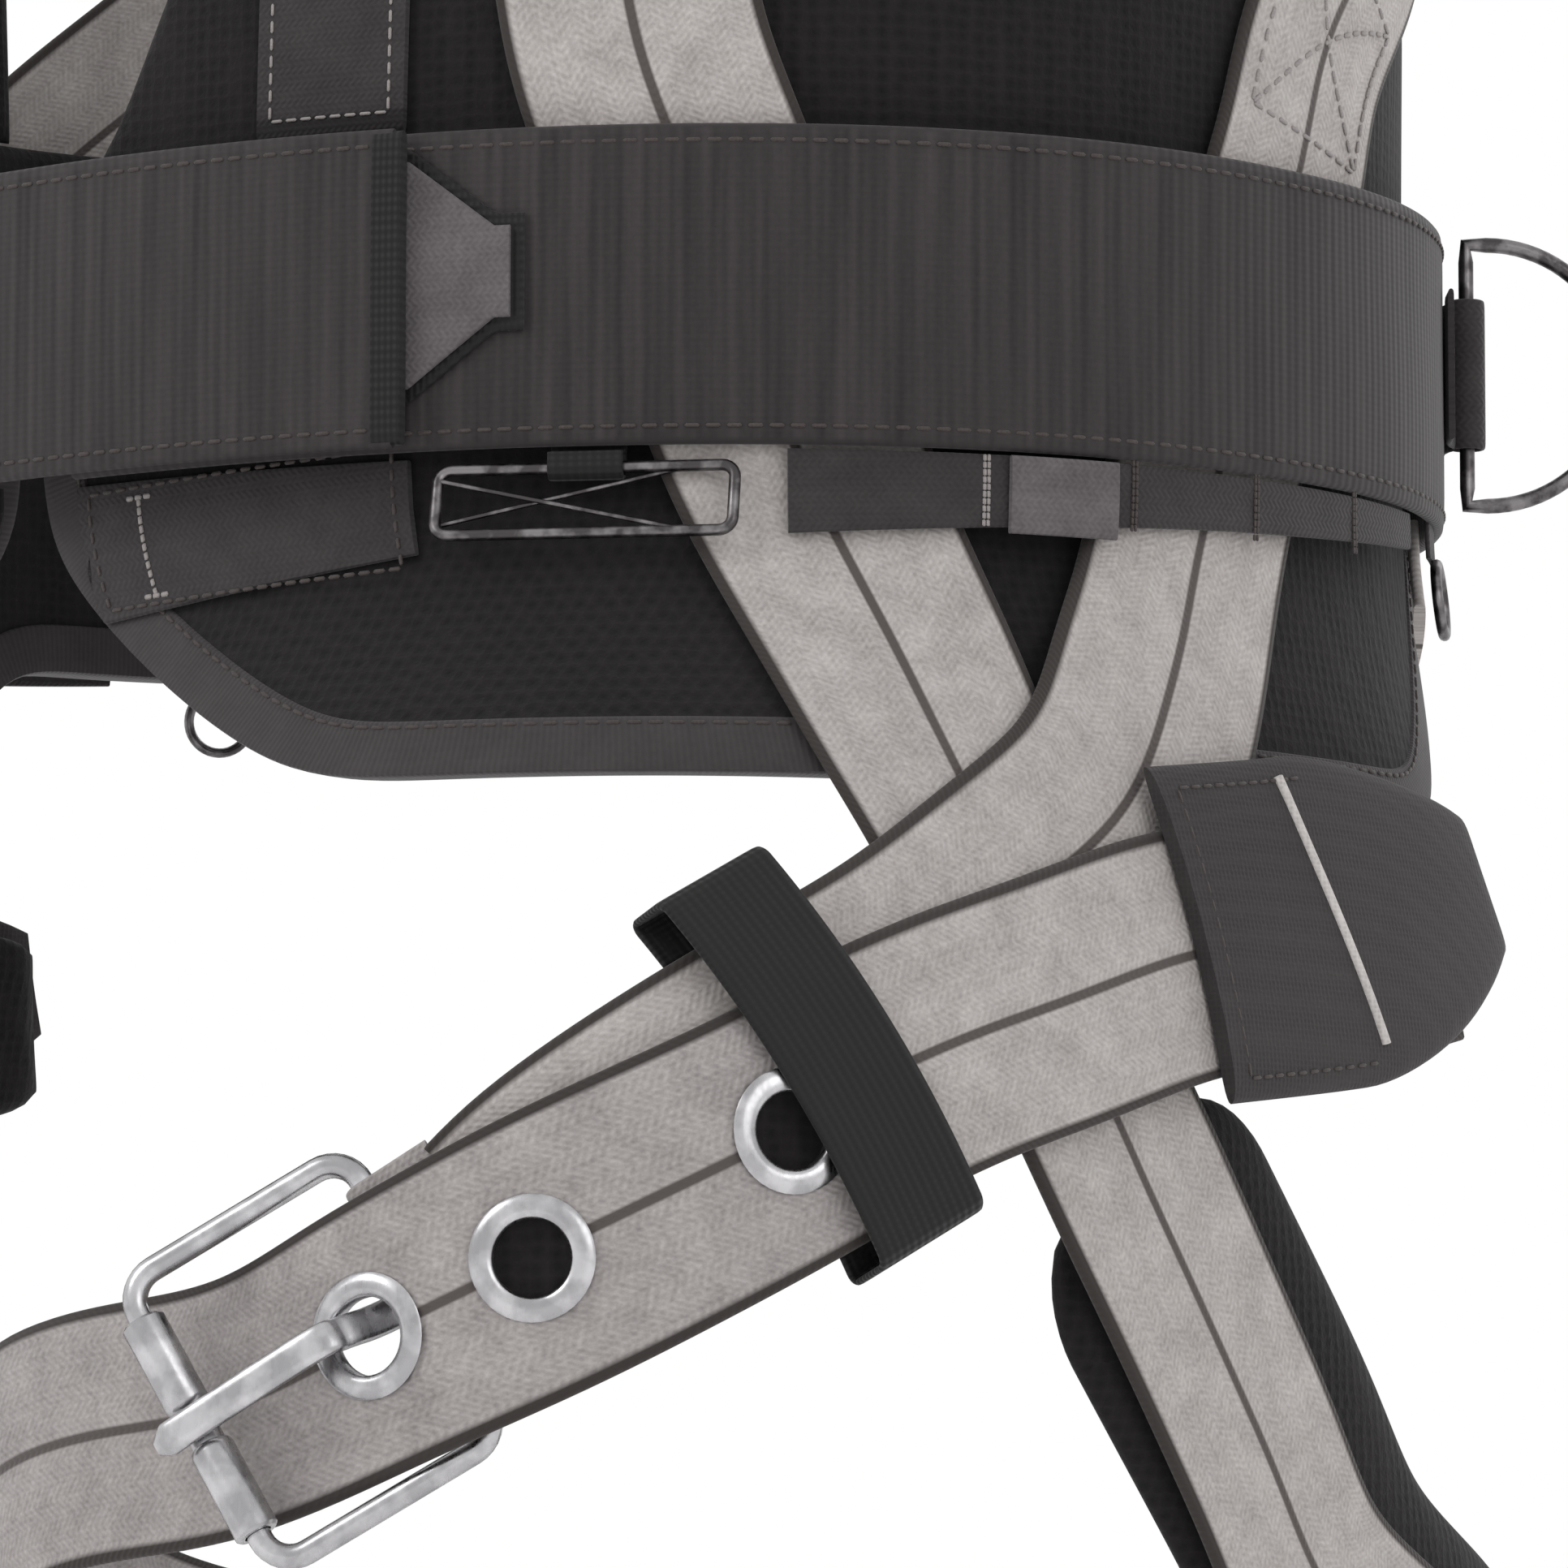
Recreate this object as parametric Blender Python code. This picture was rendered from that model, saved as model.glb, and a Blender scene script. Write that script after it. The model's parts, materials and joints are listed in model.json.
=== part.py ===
"""Safety harness vest: padded waist belt, vest panels, torso webbing and two buckled leg loops.

The harness is shaped as it hangs on a wearer. +Z is up, the wearer faces -Y and the wearer's
left is +X. The origin is the middle of the waist ring, at half the belt's height.

Two smooth surfaces stand in for the wearer, and every soft piece is laid on them:
body_point covers the trunk, hip and thigh, shoulder_point covers the arch of a shoulder.
A piece's lift is its distance out from the surface, so webbing crosses webbing without touching.
"""
import bpy
import bmesh
import numpy as np
from math import radians, pi, sin, cos
from mathutils import Matrix, Vector

MM = 0.001

# Driving sizes, in metres unless a name says degrees.
WAIST_HALF_WIDTH = 0.175
WAIST_HALF_DEPTH = 0.134
CHEST_EXTRA_WIDTH = 0.008
CHEST_LESS_DEPTH = 0.006
THIGH_CENTRE = (0.104, -0.036)
THIGH_HALF_WIDTH = 0.092
THIGH_HALF_DEPTH = 0.140
HIP_TOP = -0.030
HIP_DROP = 0.130
CHEST_HEIGHT = 0.26
SHOULDER_BASE = 0.300
SHOULDER_RISE = 0.130
SHOULDER_REACH = 0.240

WEBBING_WIDTH = 0.045
WEBBING_HALF = 1.25 * MM
BELT_TOP = 0.029
BELT_BOTTOM = -0.030
BELT_HALF = 1.75 * MM
PAD_INNER = 1.0 * MM
PAD_OUTER = 10.0 * MM

# Lift of each webbing layer's middle, from the wearer outwards.
FRONT_LIFT = 12.75 * MM
REAR_LIFT = 15.8 * MM
THIGH_LIFT = 18.85 * MM
BELT_LIFT = 16.5 * MM
BELT_OUTER_LIFT = 22.7 * MM

# Tongue buckles.
WIRE = 2.2 * MM
ROLLER_BORE = 2.5 * MM
ROLLER_RADIUS = 4.0 * MM
ROLLER_NECK = 3.1 * MM
HUB_RADIUS = 3.9 * MM
FOLD_RADIUS = 3.1 * MM
FOLD_HALF = 0.6 * MM
BUCKLE_LENGTH = 0.045
TONGUE_HALF = 1.3 * MM
GROMMET_HOLE = 8.0 * MM
STRAP_RISE = 6.6 * MM
BUCKLE_TURN = 17.5
BUCKLE_Z = -0.1855
BUCKLE_HEADING = 212.0
BELT_BUCKLE_TURN = -24.0
BELT_HOLE_TURN = 3.6
BELT_HOLE_STEP = 15.0

# Pads, leg straps and keepers. Holes and places are (turn in degrees, z).
PAD_FRONT = 2.0
STRAP_HOLES = ((52, -0.158), (29, -0.180), (14.2, -0.1930))
KEEPER_AT = (55.5, -0.1447)
KEEPER_HEADING = 209.0
KEEPER_WIDTH = 0.024
KEEPER_HALF = 0.0372
KEEPER_BEND = 0.125

# Rings.
SIDE_RING_AT = (125, 0.003)
SIDE_RING_HALF = 0.0262
SIDE_RING_WIRE = 1.5 * MM
TOOL_RING_AT = (40.0, -0.0338)
TOOL_RING_HALF = 0.0275
TOOL_RING_DROP = 0.0130
TOOL_RING_WIRE = 1.1 * MM
TOOL_RING_TILT = 12.0
DORSAL_RING_Z = 0.270
DORSAL_RING_HALF = 0.024
DORSAL_RING_WIRE = 2.8 * MM

# Adjusters and chest buckle.
ADJUSTER_AT = (40, 0.159)
CHEST_LOW = 0.198
CHEST_HIGH = 0.238
CHEST_TURNS = (11, 47)

WIRE_SIDES = 6
ROUND_SIDES = 12

BLACK = (0.012, 0.011, 0.011)
CHARCOAL = (0.045, 0.043, 0.044)
BELT_GREY = (0.065, 0.060, 0.062)
WEB_GREY = (0.46, 0.44, 0.43)
STEEL = (0.62, 0.62, 0.63)


def clear_scene():
    for thing in list(bpy.data.objects):
        bpy.data.objects.remove(thing, do_unlink=True)


def make_material(name, colour, roughness, metallic=0.0):
    material = bpy.data.materials.new(name)
    material.use_nodes = True
    shader = material.node_tree.nodes["Principled BSDF"]
    shader.inputs["Base Color"].default_value = (*colour, 1.0)
    shader.inputs["Roughness"].default_value = roughness
    shader.inputs["Metallic"].default_value = metallic
    material.diffuse_color = (*colour, 1.0)
    return material


# ---- the wearer's surfaces ----

def ease(value):
    """Smooth step from 0 to 1."""
    clipped = np.clip(value, 0.0, 1.0)
    return clipped * clipped * (3.0 - 2.0 * clipped)


def body_point(turn, z, lift=0.0):
    """Point and outward normal. turn is in degrees: 0 front, 90 the wearer's left, 180 back."""
    turn, z = np.broadcast_arrays(np.asarray(turn, float), np.asarray(z, float))
    hip = ease((HIP_TOP - z) / HIP_DROP)
    chest = ease(z / CHEST_HEIGHT)
    half_width = (WAIST_HALF_WIDTH + CHEST_EXTRA_WIDTH * chest) * (1 - hip) + THIGH_HALF_WIDTH * hip
    half_depth = (WAIST_HALF_DEPTH - CHEST_LESS_DEPTH * chest) * (1 - hip) + THIGH_HALF_DEPTH * hip
    power = 2.2 * (1 - hip) + 3.0 * hip
    s, c = np.sin(np.radians(turn)), np.cos(np.radians(turn))
    x = THIGH_CENTRE[0] * hip + half_width * np.sign(s) * np.abs(s) ** (2 / power)
    y = THIGH_CENTRE[1] * hip - half_depth * np.sign(c) * np.abs(c) ** (2 / power)
    nx = np.sign(s) * np.abs(s) ** (2 - 2 / power) / half_width
    ny = -np.sign(c) * np.abs(c) ** (2 - 2 / power) / half_depth
    size = np.sqrt(nx * nx + ny * ny)
    normal = np.stack([nx / size, ny / size, np.zeros_like(nx)], axis=-1)
    return np.stack([x, y, z], axis=-1) + np.asarray(lift)[..., None] * normal, normal


def shoulder_arch(x, travel):
    chest_width = WAIST_HALF_WIDTH + CHEST_EXTRA_WIDTH
    chest_depth = WAIST_HALF_DEPTH - CHEST_LESS_DEPTH
    depth = chest_depth * (1 - np.abs(x / chest_width) ** 2.2) ** (1 / 2.2)
    rise = SHOULDER_RISE * (1 - (x / SHOULDER_REACH) ** 2)
    return np.stack([x, -depth * np.cos(pi * travel), SHOULDER_BASE + rise * np.sin(pi * travel)], axis=-1)


def shoulder_point(x, travel, lift=0.0):
    """Point and normal over the left shoulder. travel runs from 0, the chest, to 1, the back."""
    x, travel = np.broadcast_arrays(np.asarray(x, float), np.asarray(travel, float))
    step = 1e-4
    across = shoulder_arch(x + step, travel) - shoulder_arch(x - step, travel)
    along = shoulder_arch(x, travel + step) - shoulder_arch(x, travel - step)
    normal = np.cross(across, along)
    normal /= np.linalg.norm(normal, axis=-1, keepdims=True)
    return shoulder_arch(x, travel) + np.asarray(lift)[..., None] * normal, normal


def smooth_path(points, count):
    """Catmull-Rom curve through the points, sampled evenly in its parameter."""
    knots = np.asarray(points, float)
    padded = np.vstack([2 * knots[0] - knots[1], knots, 2 * knots[-1] - knots[-2]])
    where = np.linspace(0, len(knots) - 1, count)
    index = np.minimum(where.astype(int), len(knots) - 2)
    t = (where - index)[:, None]
    a, b, c, d = (padded[index + k] for k in range(4))
    return 0.5 * (2 * b + (c - a) * t + (2 * a - 5 * b + 4 * c - d) * t ** 2
                  + (3 * b - a - 3 * c + d) * t ** 3)


def strip_grid(surface, path, width, count, half_thickness, columns=4):
    """Rows of inner and outer points of a strip laid along path on a surface.

    path holds (u, v, lift) knots, and width is a number or a function of the share travelled.
    Each row steps sideways within the surface, at right angles to the path.
    """
    u, v, lift = smooth_path(path, count).T
    points, normal = surface(u, v, lift)
    along = np.gradient(points, axis=0)
    side = np.cross(normal, along)
    side /= np.linalg.norm(side, axis=-1, keepdims=True)
    du, dv = (0.5, 0.001) if surface is body_point else (0.001, 0.005)
    pu = (surface(u + du, v)[0] - surface(u - du, v)[0]) / (2 * du)
    pv = (surface(u, v + dv)[0] - surface(u, v - dv)[0]) / (2 * dv)
    guu, guv, gvv = (pu * pu).sum(-1), (pu * pv).sum(-1), (pv * pv).sum(-1)
    su, sv = (side * pu).sum(-1), (side * pv).sum(-1)
    det = guu * gvv - guv * guv
    step_u, step_v = (su * gvv - sv * guv) / det, (sv * guu - su * guv) / det
    share = np.linspace(0, 1, count)
    widths = np.array([width(s) if callable(width) else width for s in share])
    offsets = np.linspace(-0.5, 0.5, columns)[None, :] * widths[:, None]
    uu = u[:, None] + step_u[:, None] * offsets
    vv = v[:, None] + step_v[:, None] * offsets
    rows_lift = np.repeat(lift[:, None], columns, axis=1)
    return (surface(uu, vv, rows_lift - half_thickness)[0],
            surface(uu, vv, rows_lift + half_thickness)[0])


def band_grid(turns, low, high, inner, outer, columns=4):
    """Rows of points of an upright band: low and high give its edges at each turn."""
    turns = np.asarray(turns, float)
    share = np.linspace(0, 1, columns)[None, :]
    lows = np.array([low(t) if callable(low) else low for t in turns])[:, None]
    highs = np.array([high(t) if callable(high) else high for t in turns])[:, None]
    z = lows + (highs - lows) * share
    turn = np.repeat(turns[:, None], columns, axis=1)
    return body_point(turn, z, np.full_like(z, inner))[0], body_point(turn, z, np.full_like(z, outer))[0]


# ---- making objects ----

def add_object(name, verts, faces, material, side=1, matrix=None, smooth_angle=35):
    """Make a closed object. side -1 mirrors it to the wearer's right. matrix places a local mesh."""
    mesh = bpy.data.meshes.new(name)
    mirror = Matrix.Diagonal((side, 1, 1, 1))
    mesh.from_pydata([tuple(mirror @ Vector(v)) for v in verts], [], faces)
    bm = bmesh.new()
    bm.from_mesh(mesh)
    bmesh.ops.recalc_face_normals(bm, faces=bm.faces)
    bm.to_mesh(mesh)
    bm.free()
    mesh.shade_smooth()
    mesh.set_sharp_from_angle(angle=radians(smooth_angle))
    mesh.materials.append(material)
    thing = bpy.data.objects.new(name, mesh)
    bpy.context.collection.objects.link(thing)
    if matrix is not None:
        thing.matrix_world = mirror @ matrix @ mirror
    return thing


def add_sheet(name, grid, material, side=1):
    """Closed solid between an inner and an outer grid of points."""
    inner, outer = grid
    rows, columns = inner.shape[:2]
    verts = np.vstack([inner.reshape(-1, 3), outer.reshape(-1, 3)])
    top = rows * columns
    faces = []
    for r in range(rows - 1):
        for c in range(columns - 1):
            a, b = r * columns + c, r * columns + c + 1
            d, e = a + columns, b + columns
            faces += [(a, b, e, d), (top + a, top + d, top + e, top + b)]
        first, last = r * columns, r * columns + columns - 1
        faces += [(first, first + columns, top + first + columns, top + first),
                  (last, top + last, top + last + columns, last + columns)]
    for c in range(columns - 1):
        end = (rows - 1) * columns
        faces += [(c, top + c, top + c + 1, c + 1),
                  (end + c, end + c + 1, top + end + c + 1, top + end + c)]
    return add_object(name, verts, faces, material, side)


def join_grids(*grids):
    return tuple(np.vstack([grid[k] for grid in grids]) for k in range(2))


def outline_solid(name, outline, width, material, side=1, matrix=None, hole=None):
    """Solid from an outline in the local X-Z plane, drawn out along Y to the given width.

    hole is a second outline with the same number of points, for a closed loop.
    """
    count = len(outline)
    half = width / 2
    rings = [[(x, y, z) for x, z in ring] for ring in (outline, hole) if ring for y in (-half, half)]
    verts = [v for ring in rings for v in ring]
    faces = []
    for k in range(0, len(rings), 2):
        for i in range(count):
            j = (i + 1) % count
            faces.append((k * count + i, k * count + j, (k + 1) * count + j, (k + 1) * count + i))
    if hole:
        for i in range(count):
            j = (i + 1) % count
            faces.append((i, 2 * count + i, 2 * count + j, j))
            faces.append((count + i, count + j, 3 * count + j, 3 * count + i))
    else:
        faces += [tuple(range(count)), tuple(range(count, 2 * count))]
    return add_object(name, verts, faces, material, side, matrix)


def offset_line(line, distance):
    """The open 2-D line moved sideways by distance."""
    points = np.asarray(line, float)
    heading = np.gradient(points, axis=0)
    heading /= np.linalg.norm(heading, axis=1, keepdims=True)
    return points + distance * np.stack([-heading[:, 1], heading[:, 0]], axis=1)


def folded_strip(name, line, half_thickness, width, material, side=1, matrix=None):
    """Webbing folded along a 2-D line in the local X-Z plane, drawn out along Y."""
    outline = [tuple(p) for p in offset_line(line, half_thickness)]
    outline += [tuple(p) for p in offset_line(line, -half_thickness)[::-1]]
    return outline_solid(name, outline, width, material, side, matrix)


def round_box(half_x, half_z, radius, segments=3):
    """Outline of a rounded rectangle, anticlockwise."""
    corners = ((1, 1, 0), (-1, 1, 90), (-1, -1, 180), (1, -1, 270))
    points = []
    for sx, sz, start in corners:
        for k in range(segments + 1):
            angle = radians(start + 90 * k / segments)
            points.append((sx * (half_x - radius) + radius * cos(angle),
                           sz * (half_z - radius) + radius * sin(angle)))
    return points


def bent_box(half_x, half_z, radius, bend, spans=6):
    """Rounded rectangle whose long sides curve inwards at the ends with the given bend radius."""
    corner = round_box(half_x, half_z, radius, segments=3)
    quarter = len(corner) // 4
    flat = half_x - radius
    between = [flat - 2 * flat * k / spans for k in range(1, spans)]
    points = corner[:quarter] + [(x, half_z) for x in between] + corner[quarter:3 * quarter]
    points += [(-x, -half_z) for x in between] + corner[3 * quarter:]
    return [(x, z - x * x / (2 * bend)) for x, z in points]


def wire_loop(name, path, radius, material, side=1, matrix=None, sides=WIRE_SIDES):
    """Closed wire of round section along a flat loop in the local X-Y plane."""
    loop = np.asarray(path, float)
    count = len(loop)
    heading = np.roll(loop, -1, axis=0) - np.roll(loop, 1, axis=0)
    heading /= np.linalg.norm(heading, axis=1, keepdims=True)
    outward = np.stack([heading[:, 1], -heading[:, 0]], axis=1)
    verts = []
    for p, n in zip(loop, outward):
        for k in range(sides):
            angle = 2 * pi * (k + 0.5) / sides
            reach = radius * cos(angle)
            verts.append((p[0] + n[0] * reach, p[1] + n[1] * reach, radius * sin(angle)))
    faces = []
    for i in range(count):
        for k in range(sides):
            j, m = (i + 1) % count, (k + 1) % sides
            faces.append((i * sides + k, j * sides + k, j * sides + m, i * sides + m))
    return add_object(name, verts, faces, material, side, matrix)


def turned(name, profile, material, side=1, matrix=None, segments=ROUND_SIDES):
    """Closed ring turned about the local Y axis from (y, radius) points."""
    verts, faces, count = [], [], len(profile)
    for s in range(segments):
        angle = 2 * pi * s / segments
        verts += [(r * cos(angle), y, r * sin(angle)) for y, r in profile]
    for s in range(segments):
        t = (s + 1) % segments
        for i in range(count):
            j = (i + 1) % count
            faces.append((s * count + i, s * count + j, t * count + j, t * count + i))
    return add_object(name, verts, faces, material, side, matrix)


def body_frame(turn, z, lift, heading=0.0):
    """Placement on the body: local Z points outwards, local X runs along heading (degrees).

    Heading 0 points along growing turn and 90 points up.
    """
    def at(turn_now, z_now):
        return Vector(body_point(turn_now, z_now, lift)[0])

    level = (at(turn + 0.5, z) - at(turn - 0.5, z)).normalized()
    rising = at(turn, z + 0.002) - at(turn, z - 0.002)
    out = level.cross(rising).normalized()
    up = out.cross(level)
    along = level * cos(radians(heading)) + up * sin(radians(heading))
    across = out.cross(along)
    frame = Matrix((along, across, out)).transposed().to_4x4()
    frame.translation = at(turn, z)
    return frame


def cut(target, cutter):
    modifier = target.modifiers.new("cut", "BOOLEAN")
    modifier.operation = "DIFFERENCE"
    modifier.object = cutter
    hide_tool(cutter)


def fuse(target, extra):
    modifier = target.modifiers.new("fuse", "BOOLEAN")
    modifier.operation = "UNION"
    modifier.object = extra
    hide_tool(extra)


def hide_tool(tool):
    tool.hide_render = True
    tool.display_type = "WIRE"


def box_outline(low_x, high_x, low_z, high_z):
    return [(low_x, low_z), (high_x, low_z), (high_x, high_z), (low_x, high_z)]


# ---- soft pieces ----

def rounded_ends(full, end_share, narrow=0.25):
    """Width along a strip whose two ends are rounded over end_share of its length."""
    def width(share):
        near = min(share, 1 - share) / end_share
        return full * (1 if near >= 1 else max(narrow, (1 - (1 - near) ** 2) ** 0.5))
    return width


def pad_bottom(turn):
    """Lower edge of the waist pad: a wide round corner at the front, level, then higher at the back."""
    corner = max(0.0, 1 - (turn - PAD_FRONT) / 16)
    return -0.091 + 0.055 * corner ** 2.4 + 0.055 * float(ease((turn - 112) / 16))


def pad_top(turn):
    """Upper edge of the waist pad: level with the belt at the front corner, then quickly higher."""
    return 0.030 + 0.050 * float(ease((turn - PAD_FRONT) / 9))


def build_waist_pad(material):
    left = list(np.linspace(PAD_FRONT, 18, 6)) + list(np.linspace(24, 177, 24))
    grid = band_grid(left, pad_bottom, pad_top, PAD_INNER, PAD_OUTER, columns=8)
    mirror = np.array([-1, 1, 1])
    both = tuple(np.vstack([half, half[::-1] * mirror]) for half in grid)
    add_sheet("waist_pad", both, material)


def vest_low(_turn):
    return 0.081


def vest_high(turn):
    """Upper edge of a vest panel: low under the arm, high at the chest and the back."""
    dip = sin(pi * min(max((turn - 34) / 118, 0.0), 1.0))
    return 0.255 - 0.085 * dip ** 1.5


def build_vest(material, side, word):
    turns = np.linspace(30, 103, 10)
    grid = band_grid(turns, vest_low, vest_high, 4.6 * MM, PAD_OUTER, columns=4)
    add_sheet("vest_panel_" + word, grid, material, side)


def build_torso(materials, side, word):
    web, black = materials["web"], materials["black"]
    under = FRONT_LIFT - 0.2 * MM
    front = [(40, 0.150, FRONT_LIFT), (40, 0.100, FRONT_LIFT), (42.3, 0.052, under),
             (45, 0.029, under), (57, -0.050, FRONT_LIFT - 0.06 * MM), (66, -0.090, FRONT_LIFT),
             (76, -0.126, FRONT_LIFT), (83.5, -0.154, FRONT_LIFT), (88.6, -0.184, FRONT_LIFT),
             (91, -0.214, FRONT_LIFT), (95, -0.240, FRONT_LIFT), (108, -0.260, FRONT_LIFT)]
    add_sheet("front_strap_" + word,
              strip_grid(body_point, front, WEBBING_WIDTH, 40, WEBBING_HALF), web, side)

    rear = [(170, 0.244, FRONT_LIFT), (150, 0.190, FRONT_LIFT), (122, 0.120, FRONT_LIFT),
            (98, 0.064, FRONT_LIFT), (93, 0.028, FRONT_LIFT), (84, -0.048, FRONT_LIFT),
            (82, -0.072, REAR_LIFT), (80, -0.096, REAR_LIFT), (72, -0.116, REAR_LIFT),
            (64, -0.130, REAR_LIFT), (50, -0.146, REAR_LIFT), (38, -0.161, 15.0 * MM),
            (28.4, -0.1757, 13.0 * MM)]
    add_sheet("rear_strap_" + word,
              strip_grid(body_point, rear, WEBBING_WIDTH, 34, WEBBING_HALF), web, side)

    over = FRONT_LIFT
    chest = [(40, 0.168, over), (39, 0.200, over), (37.5, 0.250, over), (36.5, 0.292, over)]
    low = strip_grid(body_point, chest, WEBBING_WIDTH, 9, WEBBING_HALF)
    arch = [(0.1085, 0.03, over), (0.104, 0.25, over), (0.095, 0.5, over), (0.074, 0.8, over),
            (0.0500, 0.95, over)]
    high = strip_grid(shoulder_point, arch, WEBBING_WIDTH, 18, WEBBING_HALF)
    nape = [(167.2, 0.294, over), (168.5, 0.283, over), (170, 0.268, over)]
    back = strip_grid(body_point, nape, WEBBING_WIDTH, 4, WEBBING_HALF)
    high = flip_columns(low, high)
    add_sheet("shoulder_strap_" + word, join_grids(low, high, flip_columns(high, back)), web, side)

    pad_lift = (PAD_INNER + PAD_OUTER) / 2
    pad_half = (PAD_OUTER - PAD_INNER) / 2
    pad_arch = [(0.108, 0.02, pad_lift), (0.104, 0.25, pad_lift), (0.095, 0.5, pad_lift),
                (0.078, 0.75, pad_lift), (0.064, 0.90, pad_lift)]
    shape = rounded_ends(0.066, 0.08, 0.55)
    add_sheet("shoulder_pad_" + word,
              strip_grid(shoulder_point, pad_arch, shape, 16, pad_half), black, side)


def flip_columns(first, second):
    """Turn the second grid's columns round if they run the other way to the first grid's."""
    run_first = first[0][-1, -1] - first[0][-1, 0]
    run_second = second[0][0, -1] - second[0][0, 0]
    if float(run_first @ run_second) < 0:
        return tuple(half[:, ::-1] for half in second)
    return second


def build_dorsal_pad(material):
    turns = np.linspace(163, 197, 9)
    grid = band_grid(turns, 0.180, 0.299, PAD_INNER, PAD_OUTER, columns=3)
    add_sheet("dorsal_pad", grid, material)


def build_belt(materials):
    grey = materials["belt"]
    turns = np.linspace(6, 330, 60)
    add_sheet("belt_webbing", band_grid(turns, BELT_BOTTOM, BELT_TOP, BELT_LIFT - BELT_HALF,
                                        BELT_LIFT + BELT_HALF, columns=3), grey)
    outer_turns = np.linspace(-52, 28.5, 28)
    outer = add_sheet("belt_outer", band_grid(outer_turns, BELT_BOTTOM, BELT_TOP,
                                              BELT_OUTER_LIFT - WEBBING_HALF,
                                              BELT_OUTER_LIFT + WEBBING_HALF, columns=3), grey)
    first_hole = BELT_BUCKLE_TURN + BELT_HOLE_TURN
    for turn in (first_hole, first_hole - BELT_HOLE_STEP):
        place = body_frame(turn, 0, BELT_OUTER_LIFT)
        cut(outer, hole_cutter("belt_hole_cut", place, 1))


def build_leg(materials, side, word):
    web, black, grey = materials["web"], materials["black"], materials["charcoal"]
    thigh = [(112, -0.108, THIGH_LIFT), (87, -0.122, THIGH_LIFT), (76, -0.1335, THIGH_LIFT),
             (67, -0.1412, THIGH_LIFT), (58.6, -0.1494, THIGH_LIFT)]
    add_sheet("thigh_strap_" + word,
              strip_grid(body_point, thigh, WEBBING_WIDTH, 14, WEBBING_HALF), web, side)

    near = 3.2 * MM
    loop = [(116, -0.264, 16.8 * MM), (140, -0.273, 14.5 * MM), (166, -0.281, 13 * MM),
            (192, -0.285, 8 * MM), (225, -0.281, near), (262, -0.268, near), (290, -0.254, 5 * MM),
            (315, -0.236, 14 * MM), (335, -0.219, 22 * MM), (350, -0.2105, 21 * MM),
            (363, -0.2045, THIGH_LIFT),
            (378, -0.190, THIGH_LIFT), (389, -0.180, THIGH_LIFT), (412, -0.158, THIGH_LIFT),
            (416.6, -0.1528, THIGH_LIFT)]
    strap = add_sheet("grommet_strap_" + word,
                      strip_grid(body_point, loop, WEBBING_WIDTH, 46, WEBBING_HALF), web, side)
    for turn, z in STRAP_HOLES:
        cut(strap, hole_cutter("strap_hole_cut", body_frame(turn, z, THIGH_LIFT), side))

    pad_lift = (PAD_INNER + PAD_OUTER) / 2
    pad_half = (PAD_OUTER - PAD_INNER) / 2
    outer_pad = [(88, -0.117, pad_lift), (95, -0.1165, pad_lift), (103, -0.115, pad_lift),
                 (109, -0.1135, pad_lift)]
    add_sheet("leg_pad_" + word,
              strip_grid(body_point, outer_pad, rounded_ends(0.040, 0.12, 0.7), 13, pad_half),
              black, side)
    cover_lift = THIGH_LIFT + 3.2 * MM
    cover = [(85.5, -0.1195, cover_lift), (92, -0.1150, cover_lift), (100, -0.110, cover_lift),
             (106, -0.106, cover_lift), (111, -0.1035, cover_lift)]
    add_sheet("leg_pad_cover_" + word,
              strip_grid(body_point, cover, cover_width, 14, 1.5 * MM), grey, side)

    lower = [(86.2, -0.160, pad_lift), (89.9, -0.186, pad_lift), (93.4, -0.214, pad_lift),
             (101, -0.244, pad_lift), (120, -0.264, pad_lift), (146, -0.275, pad_lift)]
    add_sheet("lower_leg_pad_" + word,
              strip_grid(body_point, lower, rounded_ends(0.066, 0.10, 0.45), 18, pad_half),
              black, side)

    build_keeper(black, side, word)


def cover_width(share):
    """Height of the outer leg pad cover: full at the strap end, tapering to the back."""
    tail = max(0.0, (share - 0.40) / 0.60)
    return 0.0615 * (1 - 0.60 * tail ** 1.6)


def build_keeper(material, side, word):
    """Flat elastic loop round the thigh strap and the end of the rear strap."""
    low, high = 9.0 * MM, 22.8 * MM
    place = body_frame(*KEEPER_AT, (low + high) / 2, KEEPER_HEADING)
    place = place @ Matrix.Rotation(radians(90), 4, "Z")
    outer = bent_box(KEEPER_HALF, (high - low) / 2, 2.4 * MM, KEEPER_BEND)
    inner = bent_box(KEEPER_HALF - 1.4 * MM, (high - low) / 2 - 1.3 * MM, 1.4 * MM, KEEPER_BEND)
    outline_solid("leg_keeper_" + word, outer, KEEPER_WIDTH, material, side, place, hole=inner)


# ---- hardware ----

def hole_cutter(name, place, side):
    """Round cutter through webbing, along the placement's Z."""
    count, reach = ROUND_SIDES, 4 * MM
    verts = [(GROMMET_HOLE * cos(2 * pi * k / count), GROMMET_HOLE * sin(2 * pi * k / count), z)
             for z in (-reach, reach) for k in range(count)]
    faces = [tuple(range(count)), tuple(range(count, 2 * count))]
    faces += [(k, (k + 1) % count, count + (k + 1) % count, count + k) for k in range(count)]
    return add_object(name, verts, faces, None, side, place)


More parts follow.
